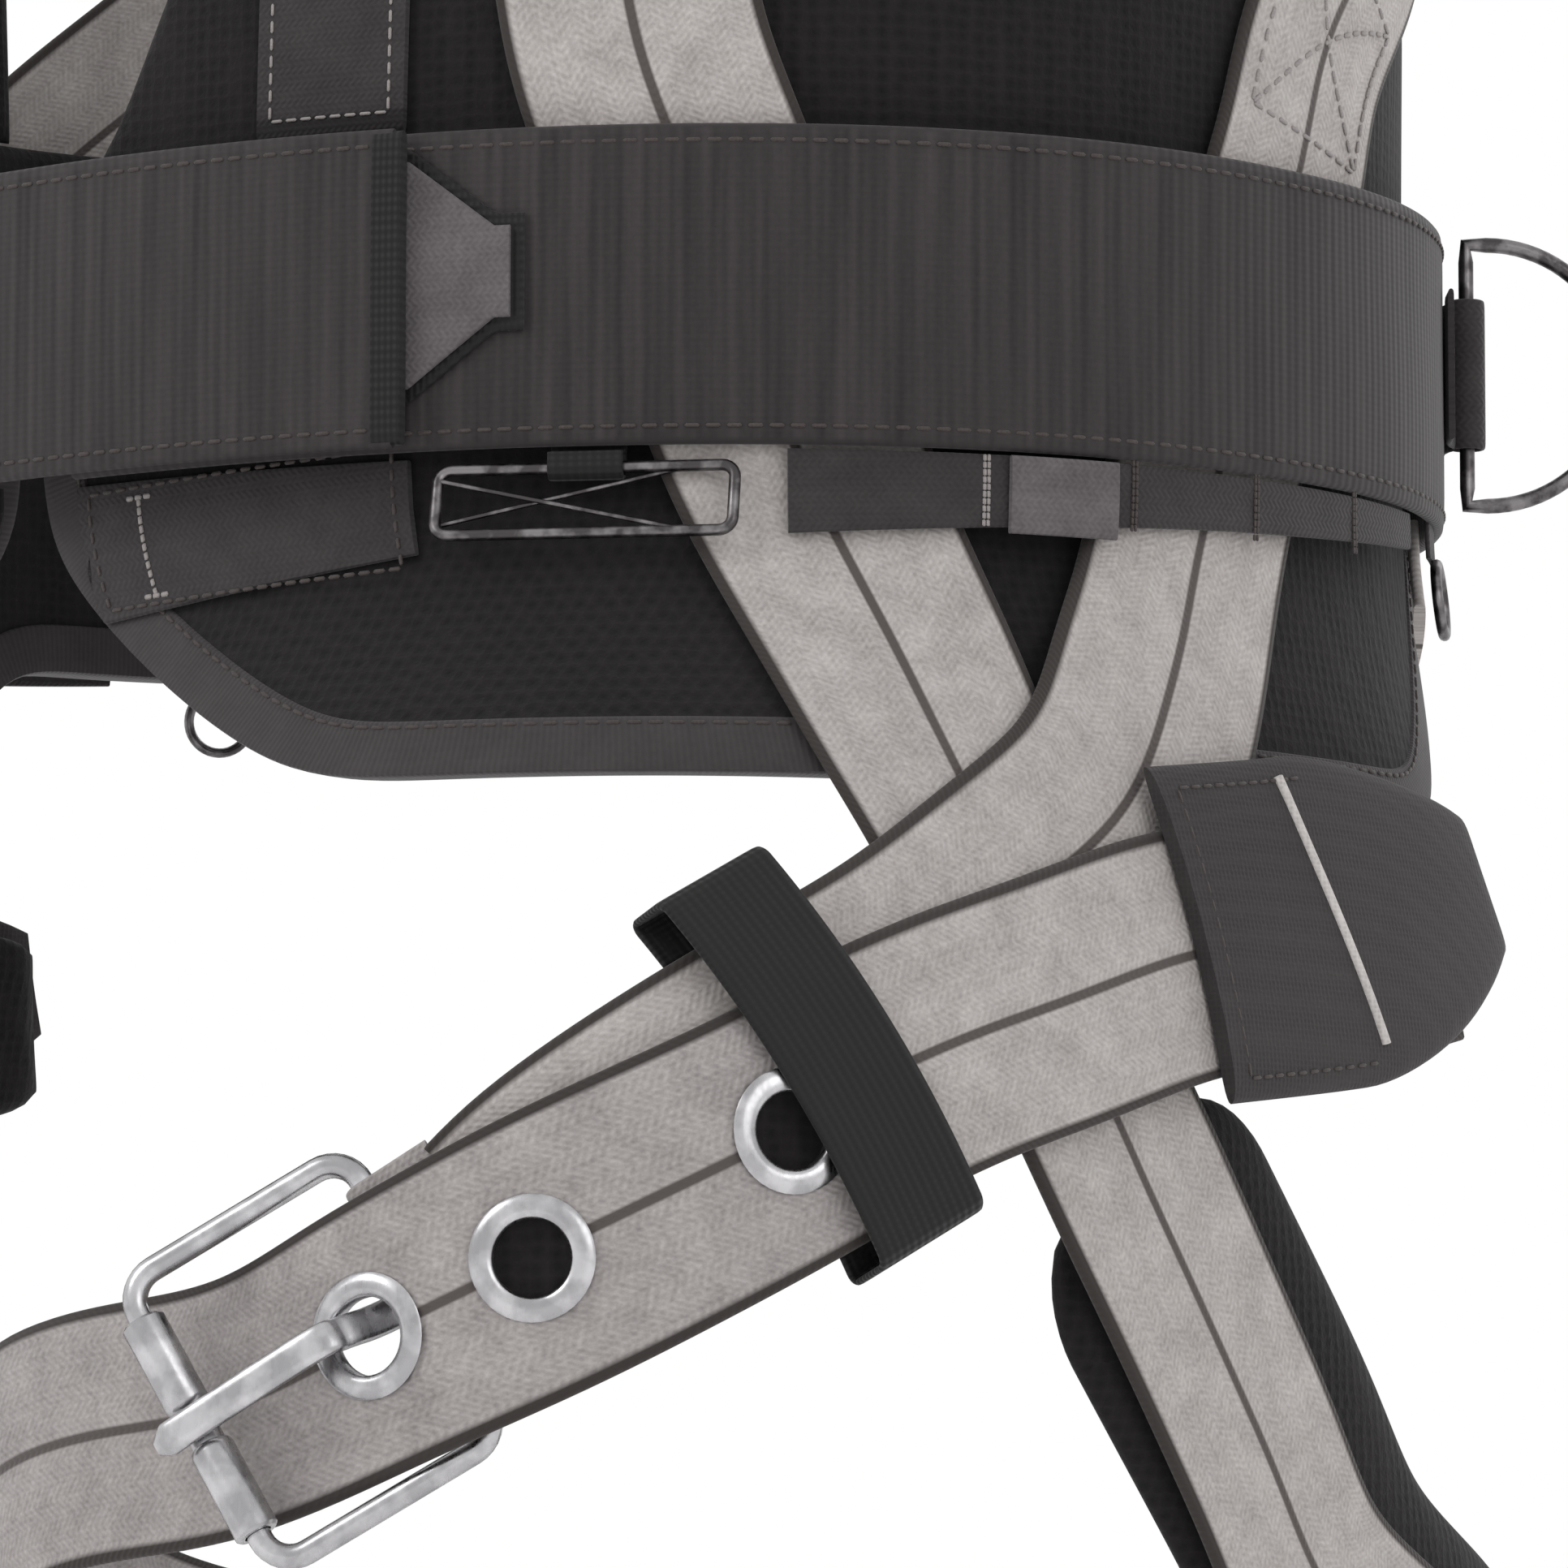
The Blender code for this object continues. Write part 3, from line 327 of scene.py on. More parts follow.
def bandLane(start, end, low, high, lift, step=3.0 * mm):
    # An upright band between two turns whose edges are numbers or functions of turn.
    value = lambda edge, turn: edge(turn) if callable(edge) else np.full_like(turn, float(edge))
    turn = np.linspace(start, end, 400)
    place = bodyPoint(turn, (value(low, turn) + value(high, turn)) / 2, lift)
    length = np.concatenate([[0], np.cumsum(np.linalg.norm(np.diff(place, axis=0), axis=1))])
    share = np.linspace(0, length[-1], max(4, int(length[-1] / step) + 1))
    turn = np.interp(share, length, turn)
    lows, highs = value(low, turn), value(high, turn)
    return dict(surface=bodyPoint, length=share, u=turn, v=(lows + highs) / 2, lift=np.full_like(turn, lift),
                su=0 * turn, sv=0 * turn + 1, width=highs - lows)


def laneSpot(lane, turn, z):
    # The distance along and across a lane that lies nearest to a place on the body.
    along, across = np.meshgrid(np.linspace(0, lane["length"][-1], 400), np.linspace(-0.04, 0.04, 81))
    there = lanePoint(lane, along, across)
    gap = np.linalg.norm(there - bodyPoint(turn, z, lane["lift"][0]), axis=-1)
    row, column = np.unravel_index(gap.argmin(), gap.shape)
    return float(along[row, column]), float(across[row, column])


def fixNormals(piece):
    # Turns the faces outwards: the signed volume, a sum of triple products, is positive when they are.
    mesh = piece.data
    mesh.calc_loop_triangles()
    co = np.zeros(len(mesh.vertices) * 3)
    mesh.vertices.foreach_get("co", co)
    tri = np.zeros(len(mesh.loop_triangles) * 3, np.int32)
    mesh.loop_triangles.foreach_get("vertices", tri)
    a, b, c = (co.reshape(-1, 3)[tri.reshape(-1, 3)[:, k]] for k in range(3))
    if float((a * np.cross(b, c)).sum()) < 0:
        mesh.flip_normals()
    return piece


def stitches(name, lane, tracks, material, side=1, rise=1.4 * mm, pitch=3.2 * mm, thick=0.42 * mm, fill=0.72):
    # A row of small rounded threads along each track of (along, across) corners, end to end.
    turns, ring = 6, circle(1.0, 6)
    template = np.vstack([np.column_stack([np.full(turns, a), r * ring])
                          for a, r in ((-1, 0.3), (-0.75, 0.95), (0.75, 0.95), (1, 0.3))])
    centres, heads = [], []
    for track in tracks:
        corners = np.asarray(track, float)
        for p, q in zip(corners[:-1], corners[1:]):
            span = np.linalg.norm(q - p)
            count = max(1, int(round(span / pitch)))
            t = (np.arange(count) + 0.5)[:, None] / count
            centres.append(p + (q - p) * t)
            heads.append(np.repeat((q - p)[None] / span, count, 0))
    centres, heads = np.vstack(centres), np.vstack(heads)
    ahead = lanePoint(lane, *(centres + heads * 0.5 * mm).T, rise)
    behind = lanePoint(lane, *(centres - heads * 0.5 * mm).T, rise)
    out = lanePoint(lane, *centres.T, rise + mm) - lanePoint(lane, *centres.T, rise)
    along = ahead - behind
    along /= np.linalg.norm(along, axis=1, keepdims=True)
    out /= np.linalg.norm(out, axis=1, keepdims=True)
    across = np.cross(out, along)
    middle = (ahead + behind) / 2
    size = np.array([pitch * fill / 2, thick, thick * 0.7])
    local = template * size
    verts = middle[:, None] + sum(local[None, :, k, None] * way[:, None]
                                  for k, way in enumerate((along, across, out)))
    starts = len(template) * np.arange(len(middle))[:, None]
    faces = [corners for face in tubeFaces(4, turns) for corners in (starts + np.array(face)).tolist()]
    return fixNormals(addPiece(name, verts.reshape(-1, 3), faces, material, side, smoothAngle=70))


def boxTracks(start, end, half, cross=True):
    # A sewn rectangle between two distances along a strap, with its diagonals.
    tracks = [[(start, -half), (end, -half), (end, half), (start, half), (start, -half)]]
    if cross:
        tracks += [[(start, -half), (end, half)], [(start, half), (end, -half)]]
    return tracks


def roundBox(halfX, halfY, radius, segments=8):
    # A rectangle's outline with quarter-circle corners, anticlockwise.
    a = np.radians(np.linspace(0, 90, segments + 1))
    points = []
    for sx, sy, start in ((1, 1, 0), (-1, 1, 90), (-1, -1, 180), (1, -1, 270)):
        b = a + radians(start)
        points.append(np.stack([sx * (halfX - radius) + radius * np.cos(b),
                                sy * (halfY - radius) + radius * np.sin(b)], 1))
    return np.vstack(points)


def circle(radius, count=32):
    # Points evenly round a circle, anticlockwise.
    angle = 2 * pi * np.arange(count) / count
    return radius * np.stack([np.cos(angle), np.sin(angle)], 1)


def refineLoop(loop, spacing=1.5 * mm):
    # Points added so that no side of the closed loop is longer than the spacing.
    out = []
    for p, q in zip(loop, np.roll(loop, -1, axis=0)):
        count = max(1, int(np.ceil(np.linalg.norm(q - p) / spacing)))
        out += [p + (q - p) * k / count for k in range(count)]
    return np.array(out)


def wireLoop(name, path, radius, material, side=1, place=None, turns=16, closed=True, squash=1.0):
    # A round section carried round a flat path: offset = r*cos along the outward side, r*sin up.
    loop = np.asarray(path, float)
    if closed:
        heading = np.roll(loop, -1, axis=0) - np.roll(loop, 1, axis=0)
    else:
        heading = np.gradient(loop, axis=0)
    heading /= np.linalg.norm(heading, axis=1, keepdims=True)
    outward = np.stack([heading[:, 1], -heading[:, 0]], axis=1)
    angle = 2 * pi * (np.arange(turns) + 0.5) / turns
    flat = loop[:, None] + outward[:, None] * (radius * np.cos(angle))[None, :, None]
    up = np.broadcast_to(radius * squash * np.sin(angle), flat.shape[:2])
    verts = np.concatenate([flat, up[..., None]], axis=2).reshape(-1, 3)
    return fixNormals(addPiece(name, verts, tubeFaces(len(loop), turns, closed), material, side, None, place,
                               60))


def turned(name, profile, material, side=1, place=None, turns=40, axis="Y", smoothAngle=40):
    # A closed profile of (distance along, radius) turned about its axis.
    points = np.asarray(profile, float)
    angle = 2 * pi * np.arange(turns) / turns
    along = np.broadcast_to(points[None, :, 0], (turns, len(points)))
    p, q = np.outer(np.cos(angle), points[:, 1]), np.outer(np.sin(angle), points[:, 1])
    verts = np.stack([p, along, q] if axis == "Y" else [p, q, along], axis=2).reshape(-1, 3)
    return fixNormals(addPiece(name, verts, tubeFaces(turns, len(points), True), material, side, None, place,
                               smoothAngle))


def foldedStrip(name, line, half, width, material, side=1, place=None, spacing=0.8 * mm, closed=False):
    # A line in local X-Z thickened both ways and drawn out along Y, with rounded long edges.
    points = np.asarray(line, float)
    if closed:
        dense = refineLoop(points, spacing)
        heading = np.roll(dense, -1, axis=0) - np.roll(dense, 1, axis=0)
    else:
        dense = [points[0]]
        for p, q in zip(points[:-1], points[1:]):
            count = max(1, int(np.linalg.norm(q - p) / spacing))
            dense += [p + (q - p) * (k + 1) / count for k in range(count)]
        dense = np.array(dense)
        heading = np.gradient(dense, axis=0)
    heading /= np.linalg.norm(heading, axis=1, keepdims=True)
    out = np.stack([-heading[:, 1], heading[:, 0]], 1)
    length = np.concatenate([[0], np.cumsum(np.linalg.norm(np.diff(dense, axis=0), axis=1))])
    section = webSection(0.0)
    rows = dense[:, None] + out[:, None] * (section[:, 1] * half)[None, :, None]
    y = np.broadcast_to(section[None, :, 0] * width, rows.shape[:2])
    verts = np.stack([rows[..., 0], y, rows[..., 1]], axis=2).reshape(-1, 3)
    uv = np.stack([y, np.repeat(length[:, None], len(section), 1)], -1).reshape(-1, 2)
    faces = tubeFaces(len(dense), len(section), closed)
    return fixNormals(addPiece(name, verts, faces, material, side, uv, place, 50))


def bevel(piece, width, segments=3):
    # A live bevel that rounds the piece's sharp edges.
    finish = piece.modifiers.new("roundedEdges", "BEVEL")
    finish.width, finish.segments = width, segments
    finish.limit_method, finish.angle_limit = "ANGLE", radians(35)
    return piece


def blockPiece(name, outline, depth, material, side=1, place=None, hole=None):
    # An outline in local X-Y drawn out along Z to plus and minus half the depth.
    rings = [np.asarray(outline, float)] + ([np.asarray(hole, float)] if hole is not None else [])
    count = len(outline)
    levels = (-depth / 2, depth / 2)
    verts = np.vstack([np.column_stack([ring, np.full(count, z)]) for ring in rings for z in levels])
    nxt = [(k + 1) % count for k in range(count)]
    faces = []
    for r in range(len(rings)):
        faces += [(2 * r * count + k, 2 * r * count + nxt[k], (2 * r + 1) * count + nxt[k],
                   (2 * r + 1) * count + k)[:: 1 if r == 0 else -1] for k in range(count)]
    if hole is None:
        faces += [tuple(range(count - 1, -1, -1)), tuple(range(count, 2 * count))]
    else:
        faces += [(k, 2 * count + k, 2 * count + nxt[k], nxt[k]) for k in range(count)]
        faces += [(count + k, count + nxt[k], 3 * count + nxt[k], 3 * count + k) for k in range(count)]
    uv = verts[:, :2]
    return fixNormals(addPiece(name, verts, faces, material, side, uv, place, 30))


def cutAway(piece, tool):
    # The tool's volume taken out of the piece, left in the mesh for good.
    cut = piece.modifiers.new("cut", "BOOLEAN")
    cut.operation, cut.solver, cut.object = "DIFFERENCE", "EXACT", tool
    bpy.context.view_layer.update()
    mesh = bpy.data.meshes.new_from_object(piece.evaluated_get(bpy.context.evaluated_depsgraph_get()))
    piece.modifiers.clear()
    piece.data = mesh
    bpy.data.objects.remove(tool, do_unlink=True)
    return piece


def cutHoles(piece, places, radius, side=1):
    # Round holes through the piece, each along its placement's Z.
    for place in places:
        cutAway(piece, blockPiece("holeTool", circle(radius), 8 * mm, piece.data.materials[0], side, place))
    return piece


def linear(hexText):
    # sRGB hex to linear light: ((c + 0.055) / 1.055)^2.4, or c / 12.92 near black.
    parts = [int(hexText[k:k + 2], 16) / 255 for k in (1, 3, 5)]
    return tuple(c / 12.92 if c <= 0.04045 else ((c + 0.055) / 1.055) ** 2.4 for c in parts) + (1.0,)


def addNode(tree, kind, inputs=None, **settings):
    # One node with its settings; an input is a number, a colour or another node's output.
    node = tree.nodes.new(kind)
    for key, value in settings.items():
        setattr(node, key, value)
    for key, value in (inputs or {}).items():
        if isinstance(value, bpy.types.NodeSocket):
            tree.links.new(value, node.inputs[key])
        else:
            node.inputs[key].default_value = value
    return node


def calc(tree, operation, *values):
    # A chain link of arithmetic between sockets and numbers.
    node = addNode(tree, "ShaderNodeMath", dict(enumerate(values)), operation=operation)
    return node.outputs[0]


def blendColour(tree, factor, first, second):
    # first where the factor is 0, second where it is 1.
    node = addNode(tree, "ShaderNodeMix", {0: factor, 6: first, 7: second}, data_type="RGBA")
    return node.outputs[2]


def newMaterial(name, roughness, metallic=0.0, sheen=0.0, specular=0.5):
    material = bpy.data.materials.new(name)
    material.use_nodes = True
    shader = material.node_tree.nodes["Principled BSDF"]
    shader.inputs["Roughness"].default_value = roughness
    shader.inputs["Metallic"].default_value = metallic
    shader.inputs["Sheen Weight"].default_value = sheen
    shader.inputs["Specular IOR Level"].default_value = specular
    return material, material.node_tree, shader


def addBump(tree, shader, height, distance, strength=1.0):
    bump = addNode(tree, "ShaderNodeBump", {"Height": height, "Strength": strength, "Distance": distance})
    tree.links.new(bump.outputs[0], shader.inputs["Normal"])


def wovenMaterial(name, look):
    # Narrow woven webbing read from the piece's own UV in metres: x is across the strap, y along it.
    # Ribs are sines of the two directions; a dark thread runs down the middle and along each selvedge.
    material, tree, shader = newMaterial(name, look["roughness"], sheen=look.get("sheen", 0.15),
                                         specular=0.25)
    uv = addNode(tree, "ShaderNodeUVMap", uv_map="weave").outputs[0]
    place = addNode(tree, "ShaderNodeSeparateXYZ", {0: uv})
    u, v = place.outputs[0], place.outputs[1]
    slope = calc(tree, "MULTIPLY", calc(tree, "PINGPONG", u, look["chevron"]), look["slant"])
    rows = calc(tree, "SINE", calc(tree, "MULTIPLY", calc(tree, "ADD", v, slope), 2 * pi / look["rowPitch"]))
    yarns = calc(tree, "SINE", calc(tree, "MULTIPLY", u, 2 * pi / look["yarnPitch"]))
    weave = calc(tree, "MULTIPLY_ADD", calc(tree, "MULTIPLY_ADD", yarns, look["yarnShare"], rows), 0.25, 0.5)
    grain = addNode(tree, "ShaderNodeTexNoise", {"Vector": uv, "Scale": 1 / look["grain"], "Detail": 4.0,
                                                 "Roughness": 0.65}, noise_dimensions="2D").outputs[0]
    stretched = addNode(tree, "ShaderNodeCombineXYZ", {0: calc(tree, "MULTIPLY", u, look["streakAcross"]),
                                                       1: v})
    streak = addNode(tree, "ShaderNodeTexNoise", {"Vector": stretched.outputs[0], "Scale": 1 / look["streak"],
                                                  "Detail": 3.0}, noise_dimensions="2D").outputs[0]
    tone = calc(tree, "MULTIPLY_ADD", calc(tree, "SUBTRACT", weave, 0.5), look["weaveTone"],
                calc(tree, "MULTIPLY_ADD", calc(tree, "SUBTRACT", grain, 0.5), look["grainTone"],
                     calc(tree, "MULTIPLY_ADD", calc(tree, "SUBTRACT", streak, 0.5), look["streakTone"],
                          0.5)))
    colour = blendColour(tree, tone, linear(look["dark"]), linear(look["light"]))
    off = calc(tree, "ABSOLUTE", u)
    if look.get("stripe"):
        inside = addNode(tree, "ShaderNodeMapRange", {"Value": off, 1: look["stripeHalf"],
                                                      2: look["stripeHalf"] * 0.6, 3: 0.0, 4: 1.0}).outputs[0]
        colour = blendColour(tree, inside, colour, linear(look["stripe"]))
    edge = addNode(tree, "ShaderNodeMapRange", {"Value": off, 1: look["edgeAt"], 2: look["edgeAt"] + 0.9 * mm,
                                                3: 0.0, 4: look.get("edgeShare", 1.0)}).outputs[0]
    colour = blendColour(tree, edge, colour, linear(look["edge"]))
    tree.links.new(colour, shader.inputs["Base Color"])
    addBump(tree, shader, weave, look["depth"])
    return material


def fabricMaterial(name, look):
    # Pad and panel cloth on Object coordinates: cells of a knitted spacer mesh, or of a plain weave, with soft
    # wear patches.
    # The cells are Voronoi distance in both cases.
    material, tree, shader = newMaterial(name, look["roughness"], sheen=look["sheen"], specular=0.2)
    place = addNode(tree, "ShaderNodeTexCoord").outputs["Object"]
    cells = addNode(tree, "ShaderNodeTexVoronoi", {"Vector": place, "Scale": 1 / look["cell"],
                                                   "Randomness": look["random"]}).outputs[0]
    patch = addNode(tree, "ShaderNodeTexNoise", {"Vector": place, "Scale": 1 / look["patch"],
                                                 "Detail": 3.0}).outputs[0]
    fine = addNode(tree, "ShaderNodeTexNoise", {"Vector": place, "Scale": 1 / look["fine"],
                                                "Detail": 2.0}).outputs[0]
    tone = calc(tree, "MULTIPLY_ADD", calc(tree, "SUBTRACT", cells, 0.4), look["cellTone"],
                calc(tree, "MULTIPLY_ADD", calc(tree, "SUBTRACT", patch, 0.5), look["patchTone"],
                     calc(tree, "MULTIPLY_ADD", calc(tree, "SUBTRACT", fine, 0.5), 0.4, 0.45)))
    tree.links.new(blendColour(tree, tone, linear(look["dark"]), linear(look["light"])),
                   shader.inputs["Base Color"])
    addBump(tree, shader, calc(tree, "MULTIPLY_ADD", fine, 0.4, cells), look["depth"])
    return material


def metalMaterial(name, look):
    # Zinc-plated or polished steel: colour mottled by the plating, fine rubbing marks in the roughness.
    material, tree, shader = newMaterial(name, look["roughness"], 1.0)
    place = addNode(tree, "ShaderNodeTexCoord").outputs["Object"]
    spangle = addNode(tree, "ShaderNodeTexNoise", {"Vector": place, "Scale": 1 / look["spangle"],
                                                   "Detail": 3.0}).outputs[0]
    rub = addNode(tree, "ShaderNodeTexNoise", {"Vector": addNode(tree, "ShaderNodeMapping",
                                                                 {"Vector": place,
                                                                  "Scale": (1.0, 1.0, 0.12)}).outputs[0],
                                               "Scale": 1 / look["rub"], "Detail": 5.0}).outputs[0]
    wear = addNode(tree, "ShaderNodeMapRange", {"Value": spangle, 1: 0.42, 2: 0.62}).outputs[0]
    tree.links.new(blendColour(tree, wear, linear(look["dark"]), linear(look["light"])),
                   shader.inputs["Base Color"])
    rough = addNode(tree, "ShaderNodeMapRange", {"Value": rub, 1: 0.3, 2: 0.7, 3: look["roughness"] * 0.75,
                                                 4: look["roughness"] * 1.35}).outputs[0]
    tree.links.new(rough, shader.inputs["Roughness"])
    addBump(tree, shader, rub, 0.02 * mm, 0.4)
    return material


def plasticMaterial(name, look):
    # Moulded nylon: a fine spark-eroded grain, greyer where hands have polished it.
    material, tree, shader = newMaterial(name, look["roughness"])
    place = addNode(tree, "ShaderNodeTexCoord").outputs["Object"]
    grain = addNode(tree, "ShaderNodeTexNoise", {"Vector": place, "Scale": 1 / (0.7 * mm),
                                                 "Detail": 3.0}).outputs[0]
    patch = addNode(tree, "ShaderNodeTexNoise", {"Vector": place, "Scale": 1 / 0.018,
                                                 "Detail": 2.0}).outputs[0]
    tone = calc(tree, "MULTIPLY_ADD", calc(tree, "SUBTRACT", grain, 0.5), 0.5, patch)
    tree.links.new(blendColour(tree, tone, linear(look["dark"]), linear(look["light"])),
                   shader.inputs["Base Color"])
    addBump(tree, shader, grain, 0.06 * mm, 0.5)
    return material


# Polyester load webbing, 45 mm: warm grey herringbone, dark marker thread down the middle and dark selvedges.
# The real yarn rows are 0.8 mm apart; they are drawn at 1.5 mm so that they show.
lightLook = dict(dark="#756f6d", light="#b6b1ae", stripe="#4a4442", stripeHalf=1.1 * mm, edge="#2f2a28",
                 edgeAt=20.0 * mm, chevron=3.2 * mm, slant=0.9, rowPitch=1.5 * mm, yarnPitch=1.1 * mm,
                 yarnShare=0.6, grain=1.3 * mm, streak=9 * mm, streakAcross=1.0, weaveTone=0.26,
                 grainTone=0.75, streakTone=0.55, depth=0.16 * mm, roughness=0.82, sheen=0.12)
webLight = wovenMaterial("polyesterWebbingLight", lightLook)
# The same webbing on the leg, a little darker: painted shade, as that strap lies in shadow.
webLegShaded = wovenMaterial("polyesterWebbingShaded", dict(lightLook, dark="#676261", light="#aaa5a3"))
# Belt webbing, 59 mm, stiff and ribbed across: the ribs catch light as uneven upright streaks.
webBelt = wovenMaterial("beltWebbingRibbed", dict(lightLook, dark="#110e0f", light="#383334", stripe=None,
                                                  edge="#2a2627", edgeAt=28.2 * mm, chevron=40 * mm,
                                                  slant=0.0, rowPitch=2.4 * mm, yarnPitch=1.3 * mm,
                                                  yarnShare=0.3, streak=3.5 * mm, streakAcross=0.05,
                                                  streakTone=1.0, grainTone=0.35, weaveTone=0.30,
                                                  depth=0.2 * mm, roughness=0.7, sheen=0.1))
# Narrow dark webbing for tabs, loops and the gear band.
webDark = wovenMaterial("narrowWebbingDark", dict(
    lightLook, dark="#161314", light="#3a3637", stripe=None, edge="#171415", edgeAt=30 * mm, chevron=1.5 * mm,
    rowPitch=1.4 * mm, streakTone=0.5, grainTone=0.4, depth=0.15 * mm, roughness=0.8))
webTab = wovenMaterial("narrowWebbingGrey", dict(
    lightLook, dark="#383435", light="#676264", stripe=None, edge="#332f30", edgeAt=30 * mm, chevron=1.5 * mm,
    rowPitch=1.4 * mm, streakTone=0.6, grainTone=0.5, depth=0.15 * mm, roughness=0.8))
# Woven elastic of the keepers: black, ribbed lengthwise, slightly shiny rubber core.
elastic = wovenMaterial("wovenElasticBlack", dict(
    lightLook, dark="#060505", light="#141111", stripe=None, edge="#0b0909", edgeAt=11 * mm, chevron=40 * mm,
    slant=0.0, rowPitch=1.2 * mm, yarnPitch=1.7 * mm, yarnShare=1.4, streakTone=0.3, grainTone=0.3,
    depth=0.2 * mm, roughness=0.62, sheen=0.1))
# Grosgrain tape that binds the pad's edge: mid grey with crosswise ribs.
tape = wovenMaterial("bindingTapeGrosgrain", dict(
    lightLook, dark="#1b1718", light="#3d393a", stripe=None, edge="#2c2829", edgeAt=7 * mm, chevron=40 * mm,
    slant=0.0, rowPitch=1.1 * mm, yarnPitch=2.0 * mm, yarnShare=0.2, streakTone=0.4, grainTone=0.4,
    depth=0.12 * mm, roughness=0.75))
# Knitted polyester spacer mesh of the pads: black, with 2.6 mm cells.
padMesh = fabricMaterial("spacerMeshBlack", dict(dark="#070606", light="#1e1b1c", cell=2.6 * mm, random=0.25,
                                                 patch=0.05, fine=0.7 * mm, cellTone=0.9, patchTone=0.6,
                                                 depth=0.35 * mm, roughness=0.92, sheen=0.08))
# Coated pack cloth, charcoal, with a 1.1 mm plain weave seen as fine cells.
packCloth = fabricMaterial("packClothCharcoal", dict(dark="#1d1a1b", light="#3b3738", cell=1.1 * mm,
                                                     random=0.15, patch=0.03, fine=0.5 * mm, cellTone=0.5,
                                                     patchTone=0.5, depth=0.14 * mm, roughness=0.8,
                                                     sheen=0.1))
pipingCord = fabricMaterial("pipingCordGrey", dict(dark="#8d8886", light="#c9c5c3", cell=0.9 * mm, random=0.3,
                                                   patch=0.02, fine=0.4 * mm, cellTone=0.6, patchTone=0.4,
                                                   depth=0.1 * mm, roughness=0.75, sheen=0.1))
# Bonded polyester sewing thread in two shades.
threadDark, threadGrey = (fabricMaterial("bondedThread" + shade, dict(
    dark=dark, light=light, cell=0.5 * mm, random=0.4, patch=0.02, fine=0.3 * mm, cellTone=0.5, patchTone=0.3,
    depth=0.05 * mm, roughness=0.6, sheen=0.1)) for shade, dark, light in (("Dark", "#2a2524", "#4a4341"),
                                                                          ("Grey", "#6d6867", "#9b9694")))
# Forged and zinc-plated steel: satin, faintly blotched.
steel = metalMaterial("zincPlatedSteel", dict(dark="#9f9ea0", light="#bdbcbe", spangle=6 * mm, rub=1.1 * mm,
                                              roughness=0.27))
# Tumbled steel wire, duller and darker.
wireSteel = metalMaterial("tumbledSteelWire", dict(dark="#4a4748", light="#7d7a7b", spangle=4 * mm,
                                                   rub=1.5 * mm, roughness=0.36))
nylon = plasticMaterial("mouldedNylonBlack", dict(dark="#0f0e0f", light="#2b292a", roughness=0.5))
print("materials ready")


waist = dict(front=2.0, back=177.0, lowest=-0.091, cornerRise=0.055, cornerTurn=16.0, frontTop=0.030,
             topRise=0.050)
padMiddle = (lifts["padInner"] + lifts["padOuter"]) / 2
padHalf = (lifts["padOuter"] - lifts["padInner"]) / 2


def padBottom(turn, climbs=((0.055, 112, 16),)):
    # Level, with a wide corner at the front, rise * (1 - t)^2.4, and higher behind by smooth steps.
    corner = np.clip(1 - (turn - waist["front"]) / waist["cornerTurn"], 0, 1)
    edge = waist["lowest"] + waist["cornerRise"] * corner ** 2.4
    return edge + sum(rise * smoothStep((turn - start) / span) for rise, start, span in climbs)


def padBottomRight(turn):
    # The wearer's right wing climbs sooner, then meets the left one at the back.
    return padBottom(turn, ((0.055, 84, 12),))


def padTop(turn):
    # Rises from the front corner to the back with a smooth step.
    return waist["frontTop"] + waist["topRise"] * smoothStep((turn - 4.0) / 10)


def makePad(piece, nodes):
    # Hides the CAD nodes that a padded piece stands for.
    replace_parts(piece, *nodes)
    return piece


halves = []
for low in (padBottom, padBottomRight):
    waistLane = bandLane(waist["front"], waist["back"], low, padTop, padMiddle, step=3.5 * mm)
    halves.append(layGrid(waistLane, waistLane["width"], padHalf, padSection(24.0, 2.0, 0.95, 30),
                          startEnd=4 * mm, narrow=0.97))
makePad(loftPiece("waistPad", *roundTheBack(*halves[0], other=halves[1]), padMesh), ["waist_pad"])

# The tape folded over the pad's lower edge, and its line of thread.
edgeTurns = np.concatenate([[2.2, 2.2, 2.25], np.linspace(2.6, 20, 12), np.linspace(26, 176, 38)])
tapeHalves = []
for (side, word, tail), low in zip(sides, (padBottom, padBottomRight)):
    edgeHeights = np.concatenate([[0.026, 0.0, -0.030], low(edgeTurns[3:])])
    tapeLane = makeLane(np.column_stack([edgeTurns, edgeHeights, np.full(len(edgeTurns), padMiddle)]))
    tapeHalves.append(layGrid(tapeLane, 11 * mm, padHalf + 0.7 * mm, webSection(0.0), shift=4.2 * mm))
    stitches("bindingThread" + word, tapeLane, [[(0.004, 8.2 * mm), (tapeLane["length"][-1], 8.2 * mm)]],
             threadDark, side, rise=padHalf + 0.8 * mm, pitch=3.6 * mm)
loftPiece("waistPadBinding", *roundTheBack(*tapeHalves[0], other=tapeHalves[1]), tape)

dorsalLane = bandLane(163, 180, 0.180, 0.299, padMiddle)
dorsalShape = layGrid(dorsalLane, dorsalLane["width"], padHalf, padSection(16.0, 2.0, 0.9, 24),
                      startEnd=6 * mm)
makePad(loftPiece("dorsalPad", *roundTheBack(*dorsalShape, extra=1), padMesh), ["dorsal_pad"])


def vestTop(turn):
    # High at chest and back, dipping under the arm: 0.255 - 0.085 * sin^1.5.
    dip = np.sin(pi * np.clip((turn - 34) / 118, 0, 1))
    return 0.255 - 0.085 * dip ** 1.5


